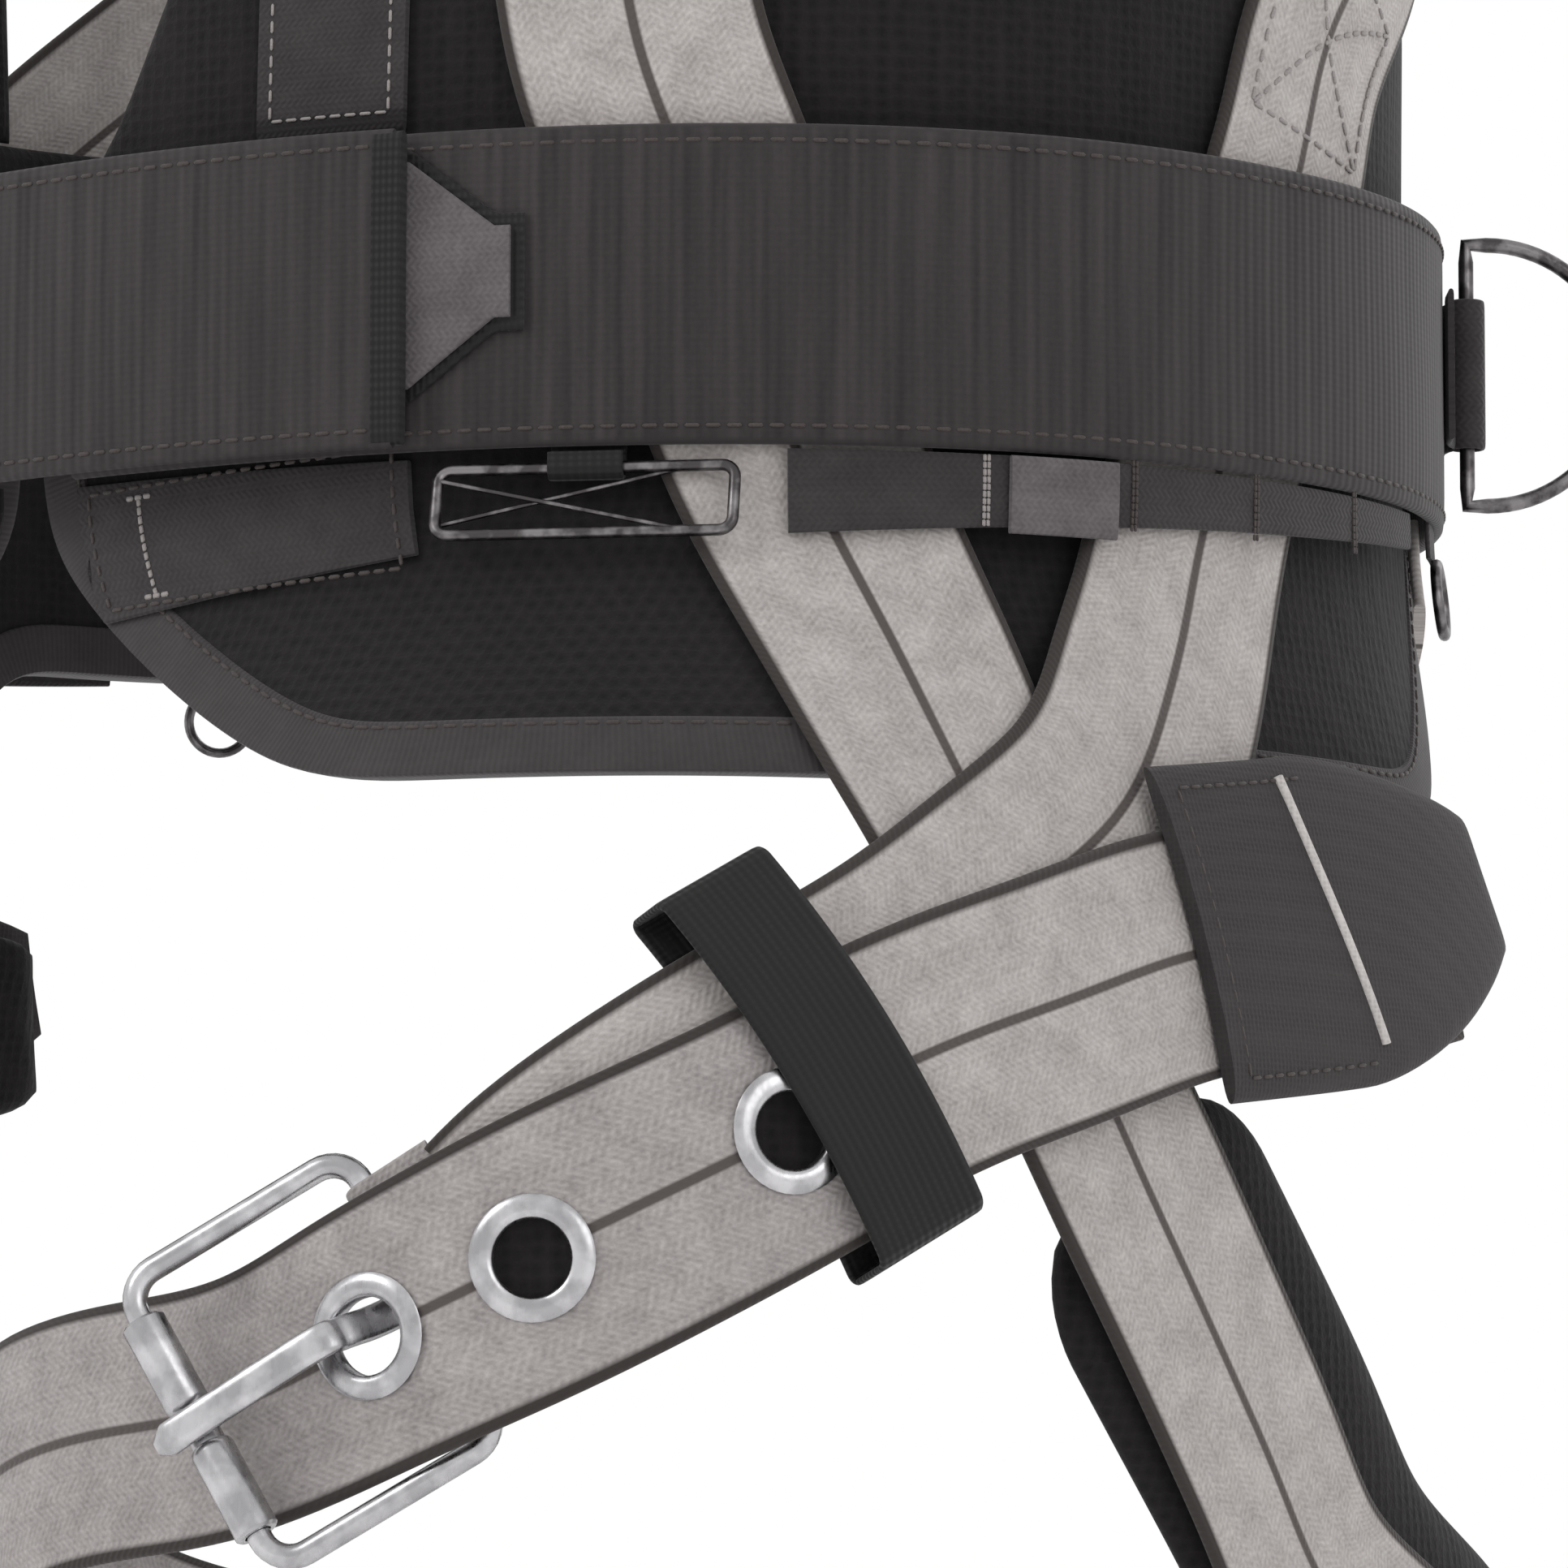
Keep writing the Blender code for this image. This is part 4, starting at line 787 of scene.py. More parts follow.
for side, word, tail in sides:
    vestLane = bandLane(30, 97, 0.081, vestTop, 7.3 * mm)
    makePad(layPiece("vestPanel" + word, vestLane, vestLane["width"], 2.7 * mm, padMesh, side,
                     padSection(30.0, 2.0, 1.0, 24), startEnd=5 * mm, farEnd=5 * mm), ["vest_panel" + tail])
    rimTurns = np.linspace(31, 96, 40)
    rimLane = makeLane(np.column_stack([rimTurns, vestTop(rimTurns) - 3 * mm, np.full(40, 7.3 * mm)]))
    layPiece("vestBinding" + word, rimLane, 9 * mm, 3.4 * mm, tape, side, webSection(0.0))

shoulderLane = makeLane([(0.108, 0.02, padMiddle), (0.104, 0.25, padMiddle), (0.095, 0.5, padMiddle),
                         (0.078, 0.75, padMiddle), (0.064, 0.90, padMiddle)], shoulderPoint)
legPadLane = makeLane([(88, -0.117, padMiddle), (95, -0.1165, padMiddle), (103, -0.115, padMiddle),
                       (109, -0.1135, padMiddle)])
coverLift = lifts["thigh"] + 3.2 * mm
coverLane = makeLane([(85.5, -0.1195, coverLift), (92, -0.1150, coverLift), (100, -0.110, coverLift),
                      (106, -0.106, coverLift), (111, -0.1035, coverLift)])
lowerLane = makeLane([(86.2, -0.160, padMiddle), (89.9, -0.186, padMiddle), (93.4, -0.214, padMiddle),
                      (101, -0.244, padMiddle), (120, -0.264, padMiddle), (146, -0.275, padMiddle)])
coverShare = coverLane["length"] / coverLane["length"][-1]
coverWidth = 0.0615 * (1 - 0.60 * np.clip((coverShare - 0.40) / 0.60, 0, 1) ** 1.6)
for side, word, tail in sides:
    makePad(layPiece("shoulderPad" + word, shoulderLane, 0.066, padHalf, padMesh, side,
                     padSection(8.0, 2.0, 0.8, 24), startEnd=20 * mm, farEnd=20 * mm, narrow=0.55),
            ["shoulder_pad" + tail])
    makePad(layPiece("legPad" + word, legPadLane, 0.040, padHalf, padMesh, side, padSection(8.0, 2.0, 0.8,
                                                                                            24),
                     startEnd=14 * mm, farEnd=14 * mm, narrow=0.7), ["leg_pad" + tail])
    makePad(layPiece("lowerLegPad" + word, lowerLane, 0.066, padHalf, padMesh, side,
                     padSection(6.0, 2.0, 0.8, 24), startEnd=22 * mm, farEnd=22 * mm, narrow=0.45),
            ["lower_leg_pad" + tail])
    makePad(layPiece("legPadCover" + word, coverLane, coverWidth, 2.0 * mm, packCloth, side,
                     padSection(10.0, 2.0, 0.6, 24), farEnd=8 * mm, narrow=0.9), ["leg_pad_cover" + tail])
    # The piping runs straight across the cover between two places on it.
    ends = bodyPoint(np.array([89.0, 96.0]), np.array([-0.0885, -0.137]))
    spots = ends[0] + (ends[1] - ends[0]) * np.linspace(0, 1, 6)[:, None]
    pipeLane = makeLane(np.column_stack([turnAt(*spots.T), spots[:, 2], np.full(6, coverLift + 1.9 * mm)]),
                        step=2 * mm)
    layPiece("coverPiping" + word, pipeLane, 2.2 * mm, 1.0 * mm, pipingCord, side,
             padSection(2.0, 2.0, 1.0, 10))
    hem = 0.0265
    stitches("coverThread" + word, coverLane, [[(0.004, -hem), (0.004, hem), (0.040, hem)],
                                               [(0.004, -hem), (0.040, -hem)]], threadDark, side,
             rise=1.9 * mm, pitch=3.4 * mm, thick=0.35 * mm)
print("pads and panels ready")


webbing = dict(width=0.045, half=1.25 * mm, beltLow=-0.030, beltHigh=0.029, beltHalf=1.75 * mm,
               ripple=0.15 * mm)
front, rear, thigh = lifts["front"], lifts["rear"], lifts["thigh"]
frontLane = makeLane([(40, 0.150, front), (40, 0.100, front), (42.3, 0.052, front), (45, 0.029, front),
                      (57, -0.050, front), (66, -0.090, front), (76, -0.126, front), (83.5, -0.154, front),
                      (88.6, -0.184, front), (91, -0.214, front), (95, -0.240, front), (108, -0.260, front)])
rearLane = makeLane([(170, 0.244, front), (150, 0.190, front), (122, 0.120, front), (98, 0.064, front),
                     (93, 0.028, front), (84, -0.048, front), (82, -0.072, rear), (80, -0.096, rear),
                     (72, -0.116, rear), (64, -0.130, rear), (50, -0.146, rear), (38, -0.161, 15.0 * mm),
                     (28.4, -0.1757, 13.0 * mm)])
thighLane = makeLane([(103, -0.1125, thigh), (95, -0.1175, thigh), (87, -0.122, thigh), (76, -0.1335, thigh),
                      (67, -0.1412, thigh), (58.6, -0.1494, thigh)])
near = 3.2 * mm
loopLane = makeLane([(116, -0.264, 16.8 * mm), (140, -0.273, 14.5 * mm), (166, -0.281, 13 * mm),
                     (192, -0.285, 8 * mm), (225, -0.281, near), (262, -0.268, near), (290, -0.254, 5 * mm),
                     (315, -0.236, 14 * mm), (335, -0.219, 22 * mm), (350, -0.2105, 21 * mm),
                     (363, -0.2045, thigh), (378, -0.190, thigh), (389, -0.180, thigh), (412, -0.158, thigh),
                     (416.6, -0.1528, thigh)])
strapHoles = ((52, -0.158), (29, -0.180), (14.2, -0.1930))


def grommet(name, place, side):
    # A brass-style eyelet in steel: a barrel of 6.8 mm radius with a rolled flange on each face.
    profile = [(1.25, 7.7), (1.25, 10.8), (1.45, 11.0), (1.85, 10.6), (2.2, 9.4), (2.3, 8.2), (2.1, 7.2),
               (1.6, 6.8), (-1.2, 6.8), (-1.5, 7.2), (-1.55, 9.5), (-1.45, 10.9), (-1.25, 10.8), (-1.25, 7.7)]
    return turned(name, [(z * mm, r * mm) for z, r in profile], steel, side, place, 44, "Z", 50)


for side, word, tail in sides:
    wide, half, ripple = webbing["width"], webbing["half"], webbing["ripple"]
    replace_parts(layPiece("frontStrap" + word, frontLane, wide, half, webLight, side, wave=ripple),
                "front_strap" + tail)
    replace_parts(layPiece("rearStrap" + word, rearLane, wide, half, webLight, side, wave=ripple),
                "rear_strap" + tail)
    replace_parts(layPiece("thighStrap" + word, thighLane, wide, half, webLight, side), "thigh_strap" + tail)
    # The grommet strap takes the darker webbing: painted shade.
    strap = layPiece("grommetStrap" + word, loopLane, wide, half, webLegShaded, side)
    holes = [bodyFrame(turn, z, thigh) for turn, z in strapHoles]
    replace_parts(cutHoles(strap, holes, 7.7 * mm, side), "grommet_strap" + tail)
    for number, place in enumerate(holes):
        grommet("legGrommet%d%s" % (number + 1, word), place, side)
        # A dark disc under each of the first two holes: painted shade for the shadowed layers seen through the
        # hole.
        if number < 2:
            blockPiece("legGrommetLining%d%s" % (number + 1, word), circle(7.2 * mm), 0.4 * mm, padMesh, side,
                       place @ Matrix.Translation((0, 0, -0.9 * mm)))

    # Shoulder: up the chest, over the arch and down to the back plate, as one run of rings.
    section = webSection()
    chestLane = makeLane([(40, 0.168, front), (39, 0.200, front), (37.5, 0.250, front), (36.5, 0.292, front)])
    archLane = makeLane([(0.1085, 0.03, front), (0.104, 0.25, front), (0.095, 0.5, front),
                         (0.074, 0.8, front), (0.0500, 0.95, front)], shoulderPoint)
    napeLane = makeLane([(167.2, 0.294, front), (168.5, 0.283, front), (170, 0.268, front)])
    rings, uvs, travelled = [], [], 0.0
    for lane in (chestLane, archLane, napeLane):
        points, uv = layGrid(lane, wide, half, section)
        if rings and np.dot(rings[-1][-1, 0] - rings[-1][-1, 14], points[0, 0] - points[0, 14]) < 0:
            order = [(14 - k) % 28 for k in range(28)]
            points, uv = points[:, order], uv[:, order]
        uv = uv + (0, travelled)
        travelled += lane["length"][-1] + 0.01
        rings.append(points)
        uvs.append(uv)
    piece = loftPiece("shoulderStrap" + word, np.concatenate(rings), np.concatenate(uvs), webLight, side)
    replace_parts(piece, "shoulder_strap" + tail)

    # Sewn boxes with their diagonals.
    at = lambda lane, turn, z: laneSpot(lane, turn, z)[0]
    top, low = at(rearLane, 101, 0.073), at(rearLane, 94.5, 0.036)
    stitches("rearBox" + word, rearLane, boxTracks(top, low, 0.0165), threadGrey, side, pitch=3.6 * mm,
             thick=0.5 * mm)
    top, low = at(rearLane, 168, 0.240), at(rearLane, 158, 0.213)
    stitches("dorsalBox" + word, rearLane, boxTracks(top, low, 0.0165), threadGrey, side, pitch=3.6 * mm)
    start, end = at(frontLane, 40, 0.148), at(frontLane, 40, 0.118)
    stitches("adjusterBox" + word, frontLane, boxTracks(start, end, 0.0165), threadGrey, side, pitch=3.6 * mm)

belt = bandLane(6, 330, webbing["beltLow"], webbing["beltHigh"], lifts["belt"])
beltPiece = layPiece("beltWebbing", belt, belt["width"], webbing["beltHalf"], webBelt, wave=0.2 * mm)
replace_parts(beltPiece, "belt_webbing")
outer = bandLane(-52, 28.5, webbing["beltLow"], webbing["beltHigh"], lifts["beltOuter"])
outerPiece = layPiece("beltOuterLayer", outer, outer["width"], webbing["half"], webBelt)
beltBuckle = dict(turn=-24.0, hole=3.6, holeStep=15.0)
holeTurns = [beltBuckle["turn"] + beltBuckle["hole"] - beltBuckle["holeStep"] * k for k in range(2)]
beltHoles = [bodyFrame(turn, 0, lifts["beltOuter"]) for turn in holeTurns]
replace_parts(cutHoles(outerPiece, beltHoles, 7.7 * mm), "belt_outer")
for number, place in enumerate(beltHoles):
    grommet("beltGrommet%d" % (number + 1), place, 1)
for across in (-0.0262, 0.0262):
    stitches("beltThread" + ("Low" if across < 0 else "High"), belt, [[(0.004, across),
                                                                       (belt["length"][-1] - 0.004, across)]],
             threadDark, rise=webbing["beltHalf"], pitch=3.8 * mm, thick=0.4 * mm)
    stitches("outerThread" + ("Low" if across < 0 else "High"), outer, [[(0.004, across),
                                                                         (outer["length"][-1] - 0.004,
                                                                          across)]], threadDark,
             rise=webbing["half"], pitch=3.8 * mm, thick=0.4 * mm)

# The belt's own end, tucked under the outer layer and cut to a blunt point.
tabEdge = lambda turn: 0.0021 + 0.0212 * (1 - 0.60 * np.clip((turn - 29.0) / 5.5, 0, 1))
tabLow = lambda turn: 0.0021 - 0.0212 * (1 - 0.60 * np.clip((turn - 29.0) / 5.5, 0, 1))
tabLane = bandLane(12, 35.5, tabLow, tabEdge, 19.9 * mm, step=1.5 * mm)
layPiece("beltEndTab", tabLane, tabLane["width"], 0.7 * mm, webTab)
# A black sheet a little larger than the tab, under it: painted shadow, the dark outline round the tab's edges.
tabShadowLane = bandLane(12, 36.3, lambda turn: tabLow(turn) - 2.4 * mm, lambda turn: tabEdge(turn) + 2.4 * mm,
                    18.9 * mm, step=1.5 * mm)
layPiece("beltEndBacking", tabShadowLane, tabShadowLane["width"], 0.5 * mm, elastic)
# A black band round the outer layer's end: painted shadow, the dark outline along that end.
outerEndShadowLane = bandLane(27.3, 29.1, webbing["beltLow"] + 0.5 * mm, webbing["beltHigh"] - 0.5 * mm,
                   lifts["beltOuter"], step=0.6 * mm)
layPiece("outerLayerEnd", outerEndShadowLane, outerEndShadowLane["width"], 1.6 * mm, elastic)
print("belt and main straps ready")


for side, word, tail in sides:
    gearLow = lambda turn: -0.0465 + 0.00016 * (turn - 53)
    gearLane = bandLane(53, 108, gearLow, -0.0306, 15.9 * mm)
    layPiece("gearBand" + word, gearLane, gearLane["width"], 0.9 * mm, webDark, side, wave=0.15 * mm)
    for number, turn in enumerate((66.3, 77.5, 88.0, 98.0)):
        spot = laneSpot(gearLane, turn, -0.038)[0]
        stitches("gearBar%d%s" % (number + 1, word), gearLane, [[(spot, -0.0068), (spot, 0.0068)],
                                                                [(spot + 0.8 * mm, -0.0068),
                                                                 (spot + 0.8 * mm, 0.0068)]],
                 threadGrey if number == 0 else threadDark, side, rise=1.0 * mm, pitch=1.4 * mm,
                 thick=0.4 * mm, fill=0.9)
    tabBand = bandLane(68, 76, -0.0455, -0.0308, 17.9 * mm)
    layPiece("gearTab" + word, tabBand, tabBand["width"], 0.7 * mm, webTab, side)
    patchLow = lambda turn: -0.058 + 0.0004 * (turn - 5)
    patchLane = bandLane(5, 28, patchLow, -0.0306, 11.4 * mm)
    layPiece("padPatch" + word, patchLane, patchLane["width"], 1.0 * mm, webDark, side)
    mid = laneSpot(patchLane, 9.5, -0.045)[0]
    stitches("patchBars" + word, patchLane, [[(mid - 3 * mm, 0.0095), (mid + 3 * mm, 0.0095)],
                                             [(mid, 0.0095), (mid, -0.010)], [(mid - 3 * mm, -0.010),
                                                                              (mid + 3 * mm, -0.010)]],
             threadGrey, side, rise=1.1 * mm, pitch=1.8 * mm, thick=0.55 * mm, fill=0.9)
    stitches("patchBox" + word, patchLane, boxTracks(0.003, patchLane["length"][-1] - 0.003, 0.0115, False),
             threadDark, side, rise=1.1 * mm)
    vestTab = bandLane(17.5, 27.5, 0.0305, 0.100, 11.3 * mm)
    layPiece("vestTab" + word, vestTab, vestTab["width"], 0.9 * mm, webDark, side)
    stitches("vestTabBox" + word, vestTab, boxTracks(0.003, vestTab["length"][-1] - 0.003, 0.031, False),
             threadGrey, side, rise=1.0 * mm, thick=0.35 * mm)
    pelvic = makeLane([(132, -0.030, front), (131, -0.040, front), (130, -0.050, front)])
    layPiece("pelvicStrap" + word, pelvic, 0.030, 1.2 * mm, webLight, side)
    loopTape = makeLane([(118, -0.026, 15.6 * mm), (118, -0.037, 15.8 * mm)], step=1 * mm)
    layPiece("rearLoopTape" + word, loopTape, 0.012, 0.5 * mm, webDark, side)
    ringPlace = bodyFrame(118, -0.0445, 17.0 * mm)
    wireLoop("rearLoopRing" + word, circle(7.0 * mm, 40), 1.1 * mm, wireSteel, side, ringPlace, 12)
print("tabs and loops ready")


keeper = dict(turn=55.5, z=-0.1447, heading=209.0, width=0.024, half=0.0372, bend=0.125, low=9.0 * mm,
              high=22.8 * mm)
buckle = dict(wire=2.2 * mm, bore=2.5 * mm, roller=4.0 * mm, neck=3.1 * mm, hub=3.9 * mm, fold=3.1 * mm,
              foldHalf=0.6 * mm, length=0.045, tongueHalf=1.3 * mm, rise=6.6 * mm, corner=6 * mm)
for side, word, tail in sides:
    place = bodyFrame(keeper["turn"], keeper["z"], (keeper["low"] + keeper["high"]) / 2, keeper["heading"])
    place = place @ Matrix.Rotation(radians(90), 4, "Z")
    tall = (keeper["high"] - keeper["low"]) / 2 - 0.67 * mm
    line = refineLoop(roundBox(keeper["half"] - 0.7 * mm, tall, 2.0 * mm, 6), 2 * mm)
    line[:, 1] -= line[:, 0] ** 2 / (2 * keeper["bend"])
    piece = foldedStrip("legKeeper" + word, line, 0.65 * mm, keeper["width"], elastic, side, place, 1.5 * mm,
                        True)
    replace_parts(piece, "leg_keeper" + tail)


def tongueBuckle(name, node, tail, place, width, foldLeg, foldTilt, webMaterial, side):
    # Frame, two-part roller, tongue and webbing fold, all measured from the fixed bar.
    b = buckle
    rollerRise = b["rise"] + webbing["half"] + 0.4 * mm + b["roller"]
    pitch = np.arcsin(rollerRise / b["length"])
    tilted = place @ Matrix.Rotation(-pitch, 4, "Y")
    middle = tilted @ Matrix.Translation((b["length"] / 2, 0, 0))
    loop = refineLoop(roundBox(b["length"] / 2, width / 2 + 6.2 * mm, b["corner"]), 3 * mm)
    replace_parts(wireLoop(name + "Frame", loop, b["wire"], steel, side, middle, 18), node + "_frame" + tail)

    reach, waistAt, r, n = width / 2 - 1.0 * mm, 4.5 * mm, b["roller"], b["neck"]
    profile = [(-reach, b["bore"]), (-reach, r - 0.5 * mm), (-reach + 0.5 * mm, r), (-waistAt - 0.4 * mm, r),
               (-waistAt + 0.5 * mm, r - 0.3 * mm), (-waistAt + 1.0 * mm, n), (waistAt - 1.0 * mm, n),
               (waistAt - 0.5 * mm, r - 0.3 * mm), (waistAt + 0.4 * mm, r), (reach - 0.5 * mm, r),
               (reach, r - 0.5 * mm), (reach, b["bore"])]
    roller = turned(name + "Roller", profile, steel, side, tilted @ Matrix.Translation((b["length"], 0, 0)),
                    48)
    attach(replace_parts(roller, node + "_roller" + tail), node + "_roller" + tail)

    flat = b["length"] * cos(pitch)
    over = rollerRise + n + 0.4 * mm + b["tongueHalf"]
    line = smoothPath([(3.0 * mm, 0.4 * mm), (6.5 * mm, 1.2 * mm), (10 * mm, 4.2 * mm), (13.2 * mm, 9.0 * mm),
                       (18 * mm, over - 4.0 * mm), (flat, over), (flat + 7 * mm, over - 0.6 * mm)], 40)
    heading = np.gradient(line, axis=0)
    heading /= np.linalg.norm(heading, axis=1, keepdims=True)
    out = np.stack([-heading[:, 1], heading[:, 0]], 1)
    angle = 2 * pi * (np.arange(16) + 0.5) / 16
    wide = 3.0 * mm * np.sign(np.cos(angle)) * np.abs(np.cos(angle)) ** 0.55
    thick = b["tongueHalf"] * np.sign(np.sin(angle)) * np.abs(np.sin(angle)) ** 0.7
    taper = np.sqrt(np.clip((40 - np.arange(40)) / 5, 0.15, 1))
    rows = line[:, None] + out[:, None] * (thick[None] * taper[:, None])[..., None]
    verts = np.stack([rows[..., 0], wide[None] * taper[:, None], rows[..., 1]], 2).reshape(-1, 3)
    tongue = fixNormals(addPiece(name + "Tongue", verts, tubeFaces(40, 16), steel, side, None, place, 60))
    hub = turned(name + "TongueHub", [(-3.3 * mm, b["bore"]), (-3.3 * mm, b["hub"] - 0.4 * mm),
                                      (-2.9 * mm, b["hub"]), (2.9 * mm, b["hub"]),
                                      (3.3 * mm, b["hub"] - 0.4 * mm), (3.3 * mm, b["bore"])], steel, side,
                 place, 36)
    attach(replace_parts(tongue, node + "_tongue" + tail), node + "_tongue" + tail)
    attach(hub, node + "_tongue" + tail)

    arc = np.linspace(0, pi, 13)
    fold = [(-foldLeg, b["fold"]), (-foldLeg / 2, b["fold"])] + [(b["fold"] * sin(a),
                                                                  b["fold"] * cos(a)) for a in arc]
    fold += [(-foldLeg / 2, -b["fold"]), (-foldLeg, -b["fold"])]
    leaning = place @ Matrix.Rotation(radians(-foldTilt), 4, "Y")
    reach = (width - 1.0 * mm) / 2
    for y, label in ((-(reach + 4.2 * mm) / 2, "Low"), ((reach + 4.2 * mm) / 2, "High")):
        part = foldedStrip(name + "Fold" + label, fold, b["foldHalf"], reach - 4.2 * mm, webMaterial, side,
                           leaning @ Matrix.Translation((0, y, 0)))
        if label == "Low":
            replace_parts(part, node + "_anchor" + tail)


for side, word, tail in sides:
    place = bodyFrame(17.5, -0.1855, thigh - buckle["rise"], 212)
    tongueBuckle("legBuckle" + word, "leg_buckle", tail, place, webbing["width"], 0.014, 9.0, webLegShaded, side)
place = bodyFrame(beltBuckle["turn"], 0, lifts["beltOuter"] - buckle["rise"], 0)
tongueBuckle("beltBuckle", "belt_buckle", "", place, webbing["beltHigh"] - webbing["beltLow"], 0.012, 2.0,
             webDark, 1)
print("keepers and buckles ready")


ring = dict(sideHalf=0.0262, sideWire=1.5 * mm, toolHalf=0.0275, toolDrop=0.0130, toolWire=1.1 * mm,
            toolTilt=12.0, dorsalHalf=0.024, dorsalWire=2.8 * mm)
arc = np.linspace(0, pi, 41)
for side, word, tail in sides:
    barLift = lifts["belt"] + webbing["beltHalf"] + 5.0 * mm
    place = bodyFrame(125, 0.003, barLift, 90) @ Matrix.Rotation(radians(90), 4, "X")
    half = ring["sideHalf"]
    loop = np.concatenate([np.stack([half * np.cos(arc), 4 * mm + half * np.sin(arc)], 1),
                           np.stack([np.linspace(-half, half, 16), 0 * np.linspace(0, 1, 16)], 1)])
    piece = wireLoop("sideRing" + word, loop, ring["sideWire"], wireSteel, side, place, 18)
    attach(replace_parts(piece, "side_d_ring" + tail), "side_d_ring" + tail)
    upright = bodyFrame(125, 0.003, barLift, 0)
    curl, foot = 3.1 * mm, -4.2 * mm
    bend = [(curl * cos(a), curl * sin(a)) for a in np.radians(np.linspace(-60, 240, 25))]
    line = [(16 * mm, foot), (7 * mm, foot), (3.6 * mm, foot + 0.7 * mm)] + bend
    line += [(-3.6 * mm, foot + 0.7 * mm), (-7 * mm, foot), (-16 * mm, foot)]
    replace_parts(foldedStrip("sideRingSleeve" + word, line[::-1], 0.6 * mm, 0.030, webDark, side, upright),
                "side_ring_sleeve" + tail)

    place = bodyFrame(40.0, -0.0338, lifts["padOuter"] + 5.0 * mm, 0)
    hanging = place @ Matrix.Rotation(radians(-ring["toolTilt"]), 4, "X")
    half, drop = ring["toolHalf"], ring["toolDrop"]
    loop = refineLoop(roundBox(half, drop / 2, 2.5 * mm, 6) - (0, drop / 2), 3 * mm)
    piece = wireLoop("toolRing" + word, loop, ring["toolWire"], wireSteel, side, hanging, 14)
    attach(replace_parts(piece, "tool_ring" + tail), "tool_ring" + tail)
    for number, ends in enumerate((((-half, -0.0022), (half - 9 * mm, -drop)), ((-half, -drop + 2 * mm),
                                                                                (half - 9 * mm, 0.0)))):
        share = np.linspace(0, 1, 12)[:, None]
        path = np.array(ends[0]) * (1 - share) + np.array(ends[1]) * share
        lacing = wireLoop("toolRingLacing%d%s" % (number + 1, word), path, 0.45 * mm, wireSteel, side,
                          hanging @ Matrix.Translation((0, 0, (0.5 - number) * 0.95 * mm)), 8, False)
        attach(lacing, "tool_ring" + tail)
    across = place @ Matrix.Rotation(radians(90), 4, "Z")
    curl = 1.9 * mm
    line = [(2.6 * mm, curl)] + [(-curl * sin(a), curl * cos(a)) for a in np.linspace(0, pi, 13)]
    line += [(4.5 * mm, -curl), (9 * mm, -curl)]
    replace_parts(foldedStrip("toolRingTab" + word, line, 0.45 * mm, 0.014, elastic, side, across),
                "tool_ring_tab" + tail)

centre = bodyFrame(180, 0.270, front + 5.2 * mm, 0)
plate = bevel(blockPiece("dorsalPlate", roundBox(0.030, 0.032, 0.008), 3.0 * mm, nylon, 1, centre), 0.6 * mm)
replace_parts(plate, "dorsal_plate")
bar = centre @ Matrix.Translation((0, 0.010, 5.2 * mm))
half = ring["dorsalHalf"]
loop = np.concatenate([np.stack([np.linspace(half, -half, 16), 0 * np.linspace(0, 1, 16)], 1),
                       np.stack([half * np.cos(arc), -half / 2 - half * np.sin(arc)], 1)[::-1]])
piece = wireLoop("dorsalRing", refineLoop(loop, 3 * mm), ring["dorsalWire"], steel, 1, bar, 20)
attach(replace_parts(piece, "dorsal_d_ring"), "dorsal_d_ring")
across = bar @ Matrix.Rotation(radians(90), 4, "Z")
curl, foot = 3.7 * mm, -3.0 * mm
line = [(-14 * mm, foot), (-7 * mm, foot), (-4.2 * mm, foot + 1.0 * mm)]
line += [(curl * cos(a), curl * sin(a)) for a in np.radians(np.linspace(200, -20, 25))]
line += [(4.2 * mm, foot + 1.0 * mm), (7 * mm, foot), (14 * mm, foot)]
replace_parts(foldedStrip("dorsalRingStrap", line, 0.6 * mm, 0.030, webLight, 1, across), "dorsal_ring_strap")
print("rings ready")


for side, word, tail in sides:
    place = bodyFrame(40, 0.159, front + 5.2 * mm, 90)
    loop = refineLoop(roundBox(0.0175, 0.0285, 5 * mm), 3 * mm)
    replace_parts(wireLoop("torsoAdjuster" + word, loop, 2.0 * mm, steel, side, place, 16),
                "torso_adjuster" + tail)
    outline = roundBox(3.2 * mm, 0.0245, 0.8 * mm, 4)
    slider = bevel(blockPiece("adjusterBar" + word, outline, 2.8 * mm, steel, side, place), 0.5 * mm)
    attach(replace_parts(slider, "adjuster_bar" + tail), "adjuster_bar" + tail)
    chestBand = bandLane(11, 47, 0.198, 0.238, lifts["chest"])
    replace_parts(layPiece("chestStrap" + word, chestBand, chestBand["width"], webbing["half"], webLight, side),
                "chest_strap" + tail)
    stitches("chestBox" + word, chestBand, boxTracks(0.004, 0.026, 0.014), threadGrey, side, pitch=3.4 * mm)

place = bodyFrame(0, 0.218, lifts["chest"], 0)
shell = roundBox(0.017, 0.024, 2 * mm)
receiver = blockPiece("chestReceiver", shell + (0.017, 0), 11 * mm, nylon, 1, place)
for size, spot, depth, label in (((0.0125, 0.020), (0.0115, 0, 0), 4.2 * mm, "pocket"),
                                 ((0.0074, 0.0124), (0.015, 0, 4.55 * mm), 2.9 * mm, "well")):
    cutAway(receiver, blockPiece(label + "Tool", roundBox(size[0], size[1], 0.5 * mm, 3), depth, nylon, 1,
                                 place @ Matrix.Translation(spot)))
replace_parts(bevel(receiver, 0.5 * mm), "chest_buckle_receiver")
stem = [(-0.034, -3.2 * mm), (-0.0015, -3.2 * mm), (-0.0015, -1.5 * mm), (0.022, -1.5 * mm),
        (0.022, 1.5 * mm), (-0.0015, 1.5 * mm), (-0.0015, 3.2 * mm), (-0.034, 3.2 * mm)]
lying = place @ Matrix.Rotation(radians(90), 4, "X")
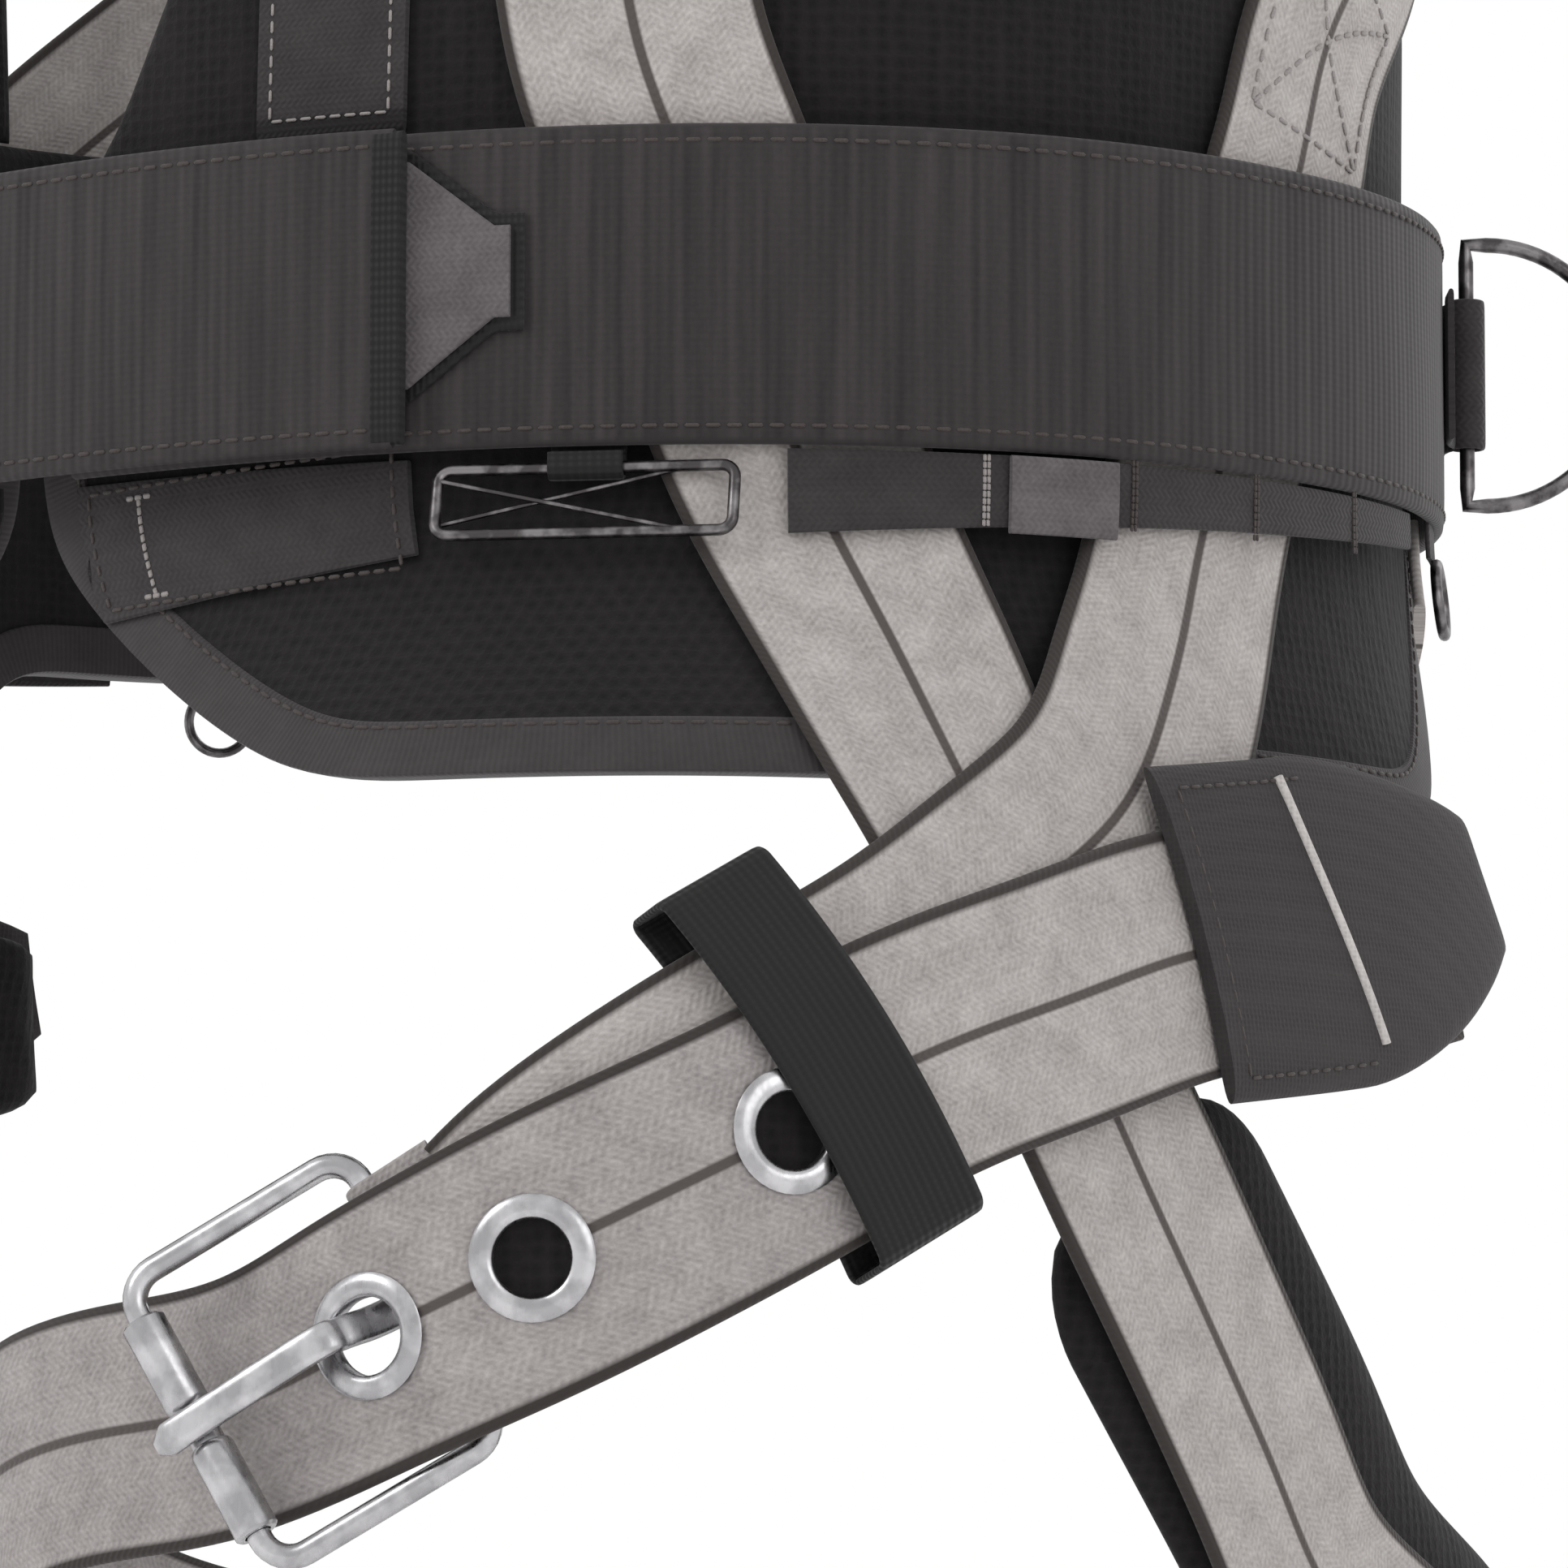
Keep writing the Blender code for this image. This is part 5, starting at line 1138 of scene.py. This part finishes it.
insert = bevel(blockPiece("chestInsert", stem, 0.038, steel, 1, lying), 0.5 * mm)
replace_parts(insert, "chest_buckle_insert")
button = blockPiece("chestButton", roundBox(7 * mm, 12 * mm, 1.5 * mm), 1.8 * mm, steel, 1,
                    place @ Matrix.Translation((0.015, 0, 5.5 * mm)))
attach(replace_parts(bevel(button, 0.4 * mm), "chest_buckle_button"), "chest_buckle_button")
print("adjusters and chest strap ready")


# Everything with no joint of its own is sewn to the harness.
for piece in [o for o in bpy.data.objects if o.type == "MESH" and o not in frame["nodes"].values()]:
    if "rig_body" not in piece:
        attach(piece, "harness")


studio = dict(floorDrop=0.05, sky=(1.0, 1.0, 1.0), skyStrength=1.0, azimuth=42.0, elevation=-5.5,
              distance=1.6, aside=0.050, height=-0.075, frameWidth=0.318, sensor=36.0)
floorMaterial, tree, shader = newMaterial("paintedStudioFloor", 0.9)
place = addNode(tree, "ShaderNodeTexCoord").outputs["Object"]
speck = addNode(tree, "ShaderNodeTexNoise", {"Vector": place, "Scale": 3.0}).outputs[0]
tree.links.new(blendColour(tree, speck, linear("#fbfafa"), linear("#ffffff")), shader.inputs["Base Color"])
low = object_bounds()[0][2] - studio["floorDrop"]
corner = 6.0
floor = addPiece("studioFloor", [(-corner, -corner, low), (corner, -corner, low), (corner, corner, low),
                                 (-corner, corner, low)], [(0, 1, 2, 3)], floorMaterial)

world = bpy.data.worlds.new("studioSky")
world.use_nodes = True
world.node_tree.nodes["Background"].inputs["Color"].default_value = (*studio["sky"], 1.0)
world.node_tree.nodes["Background"].inputs["Strength"].default_value = studio["skyStrength"]
bpy.context.scene.world = world
bpy.context.scene.view_settings.view_transform = "Standard"


def softLight(name, spot, aim, size, power):
    # A square area light at spot, turned to face aim.
    data = bpy.data.lights.new(name, "AREA")
    data.size, data.energy = size, power
    lamp = bpy.data.objects.new(name, data)
    lamp.location = spot
    lamp.rotation_euler = (Vector(aim) - Vector(spot)).to_track_quat("-Z", "Y").to_euler()
    bpy.context.collection.objects.link(lamp)


softLight("keyLight", (-0.6, -1.9, 1.3), (0.05, -0.05, -0.05), 1.1, 15)
softLight("fillLight", (2.2, -0.6, 0.7), (0.05, 0.0, -0.05), 1.2, 8)
softLight("rimLight", (0.4, 1.9, 1.2), (0.0, 0.0, 0.0), 1.2, 6)

turn, tilt = radians(studio["azimuth"]), radians(studio["elevation"])
target = Vector((studio["aside"] * cos(turn), studio["aside"] * sin(turn), studio["height"]))
back = Vector((sin(turn) * cos(tilt), -cos(turn) * cos(tilt), sin(tilt)))
lens = bpy.data.cameras.new("camera")
lens.sensor_width = studio["sensor"]
lens.lens = studio["sensor"] * studio["distance"] / studio["frameWidth"]
lens.clip_start, lens.clip_end = 0.05, 30.0
camera = bpy.data.objects.new("camera", lens)
camera.location = target + back * studio["distance"]
camera.rotation_euler = back.to_track_quat("Z", "Y").to_euler()
bpy.context.collection.objects.link(camera)
bpy.context.scene.camera = camera
print("studio ready")
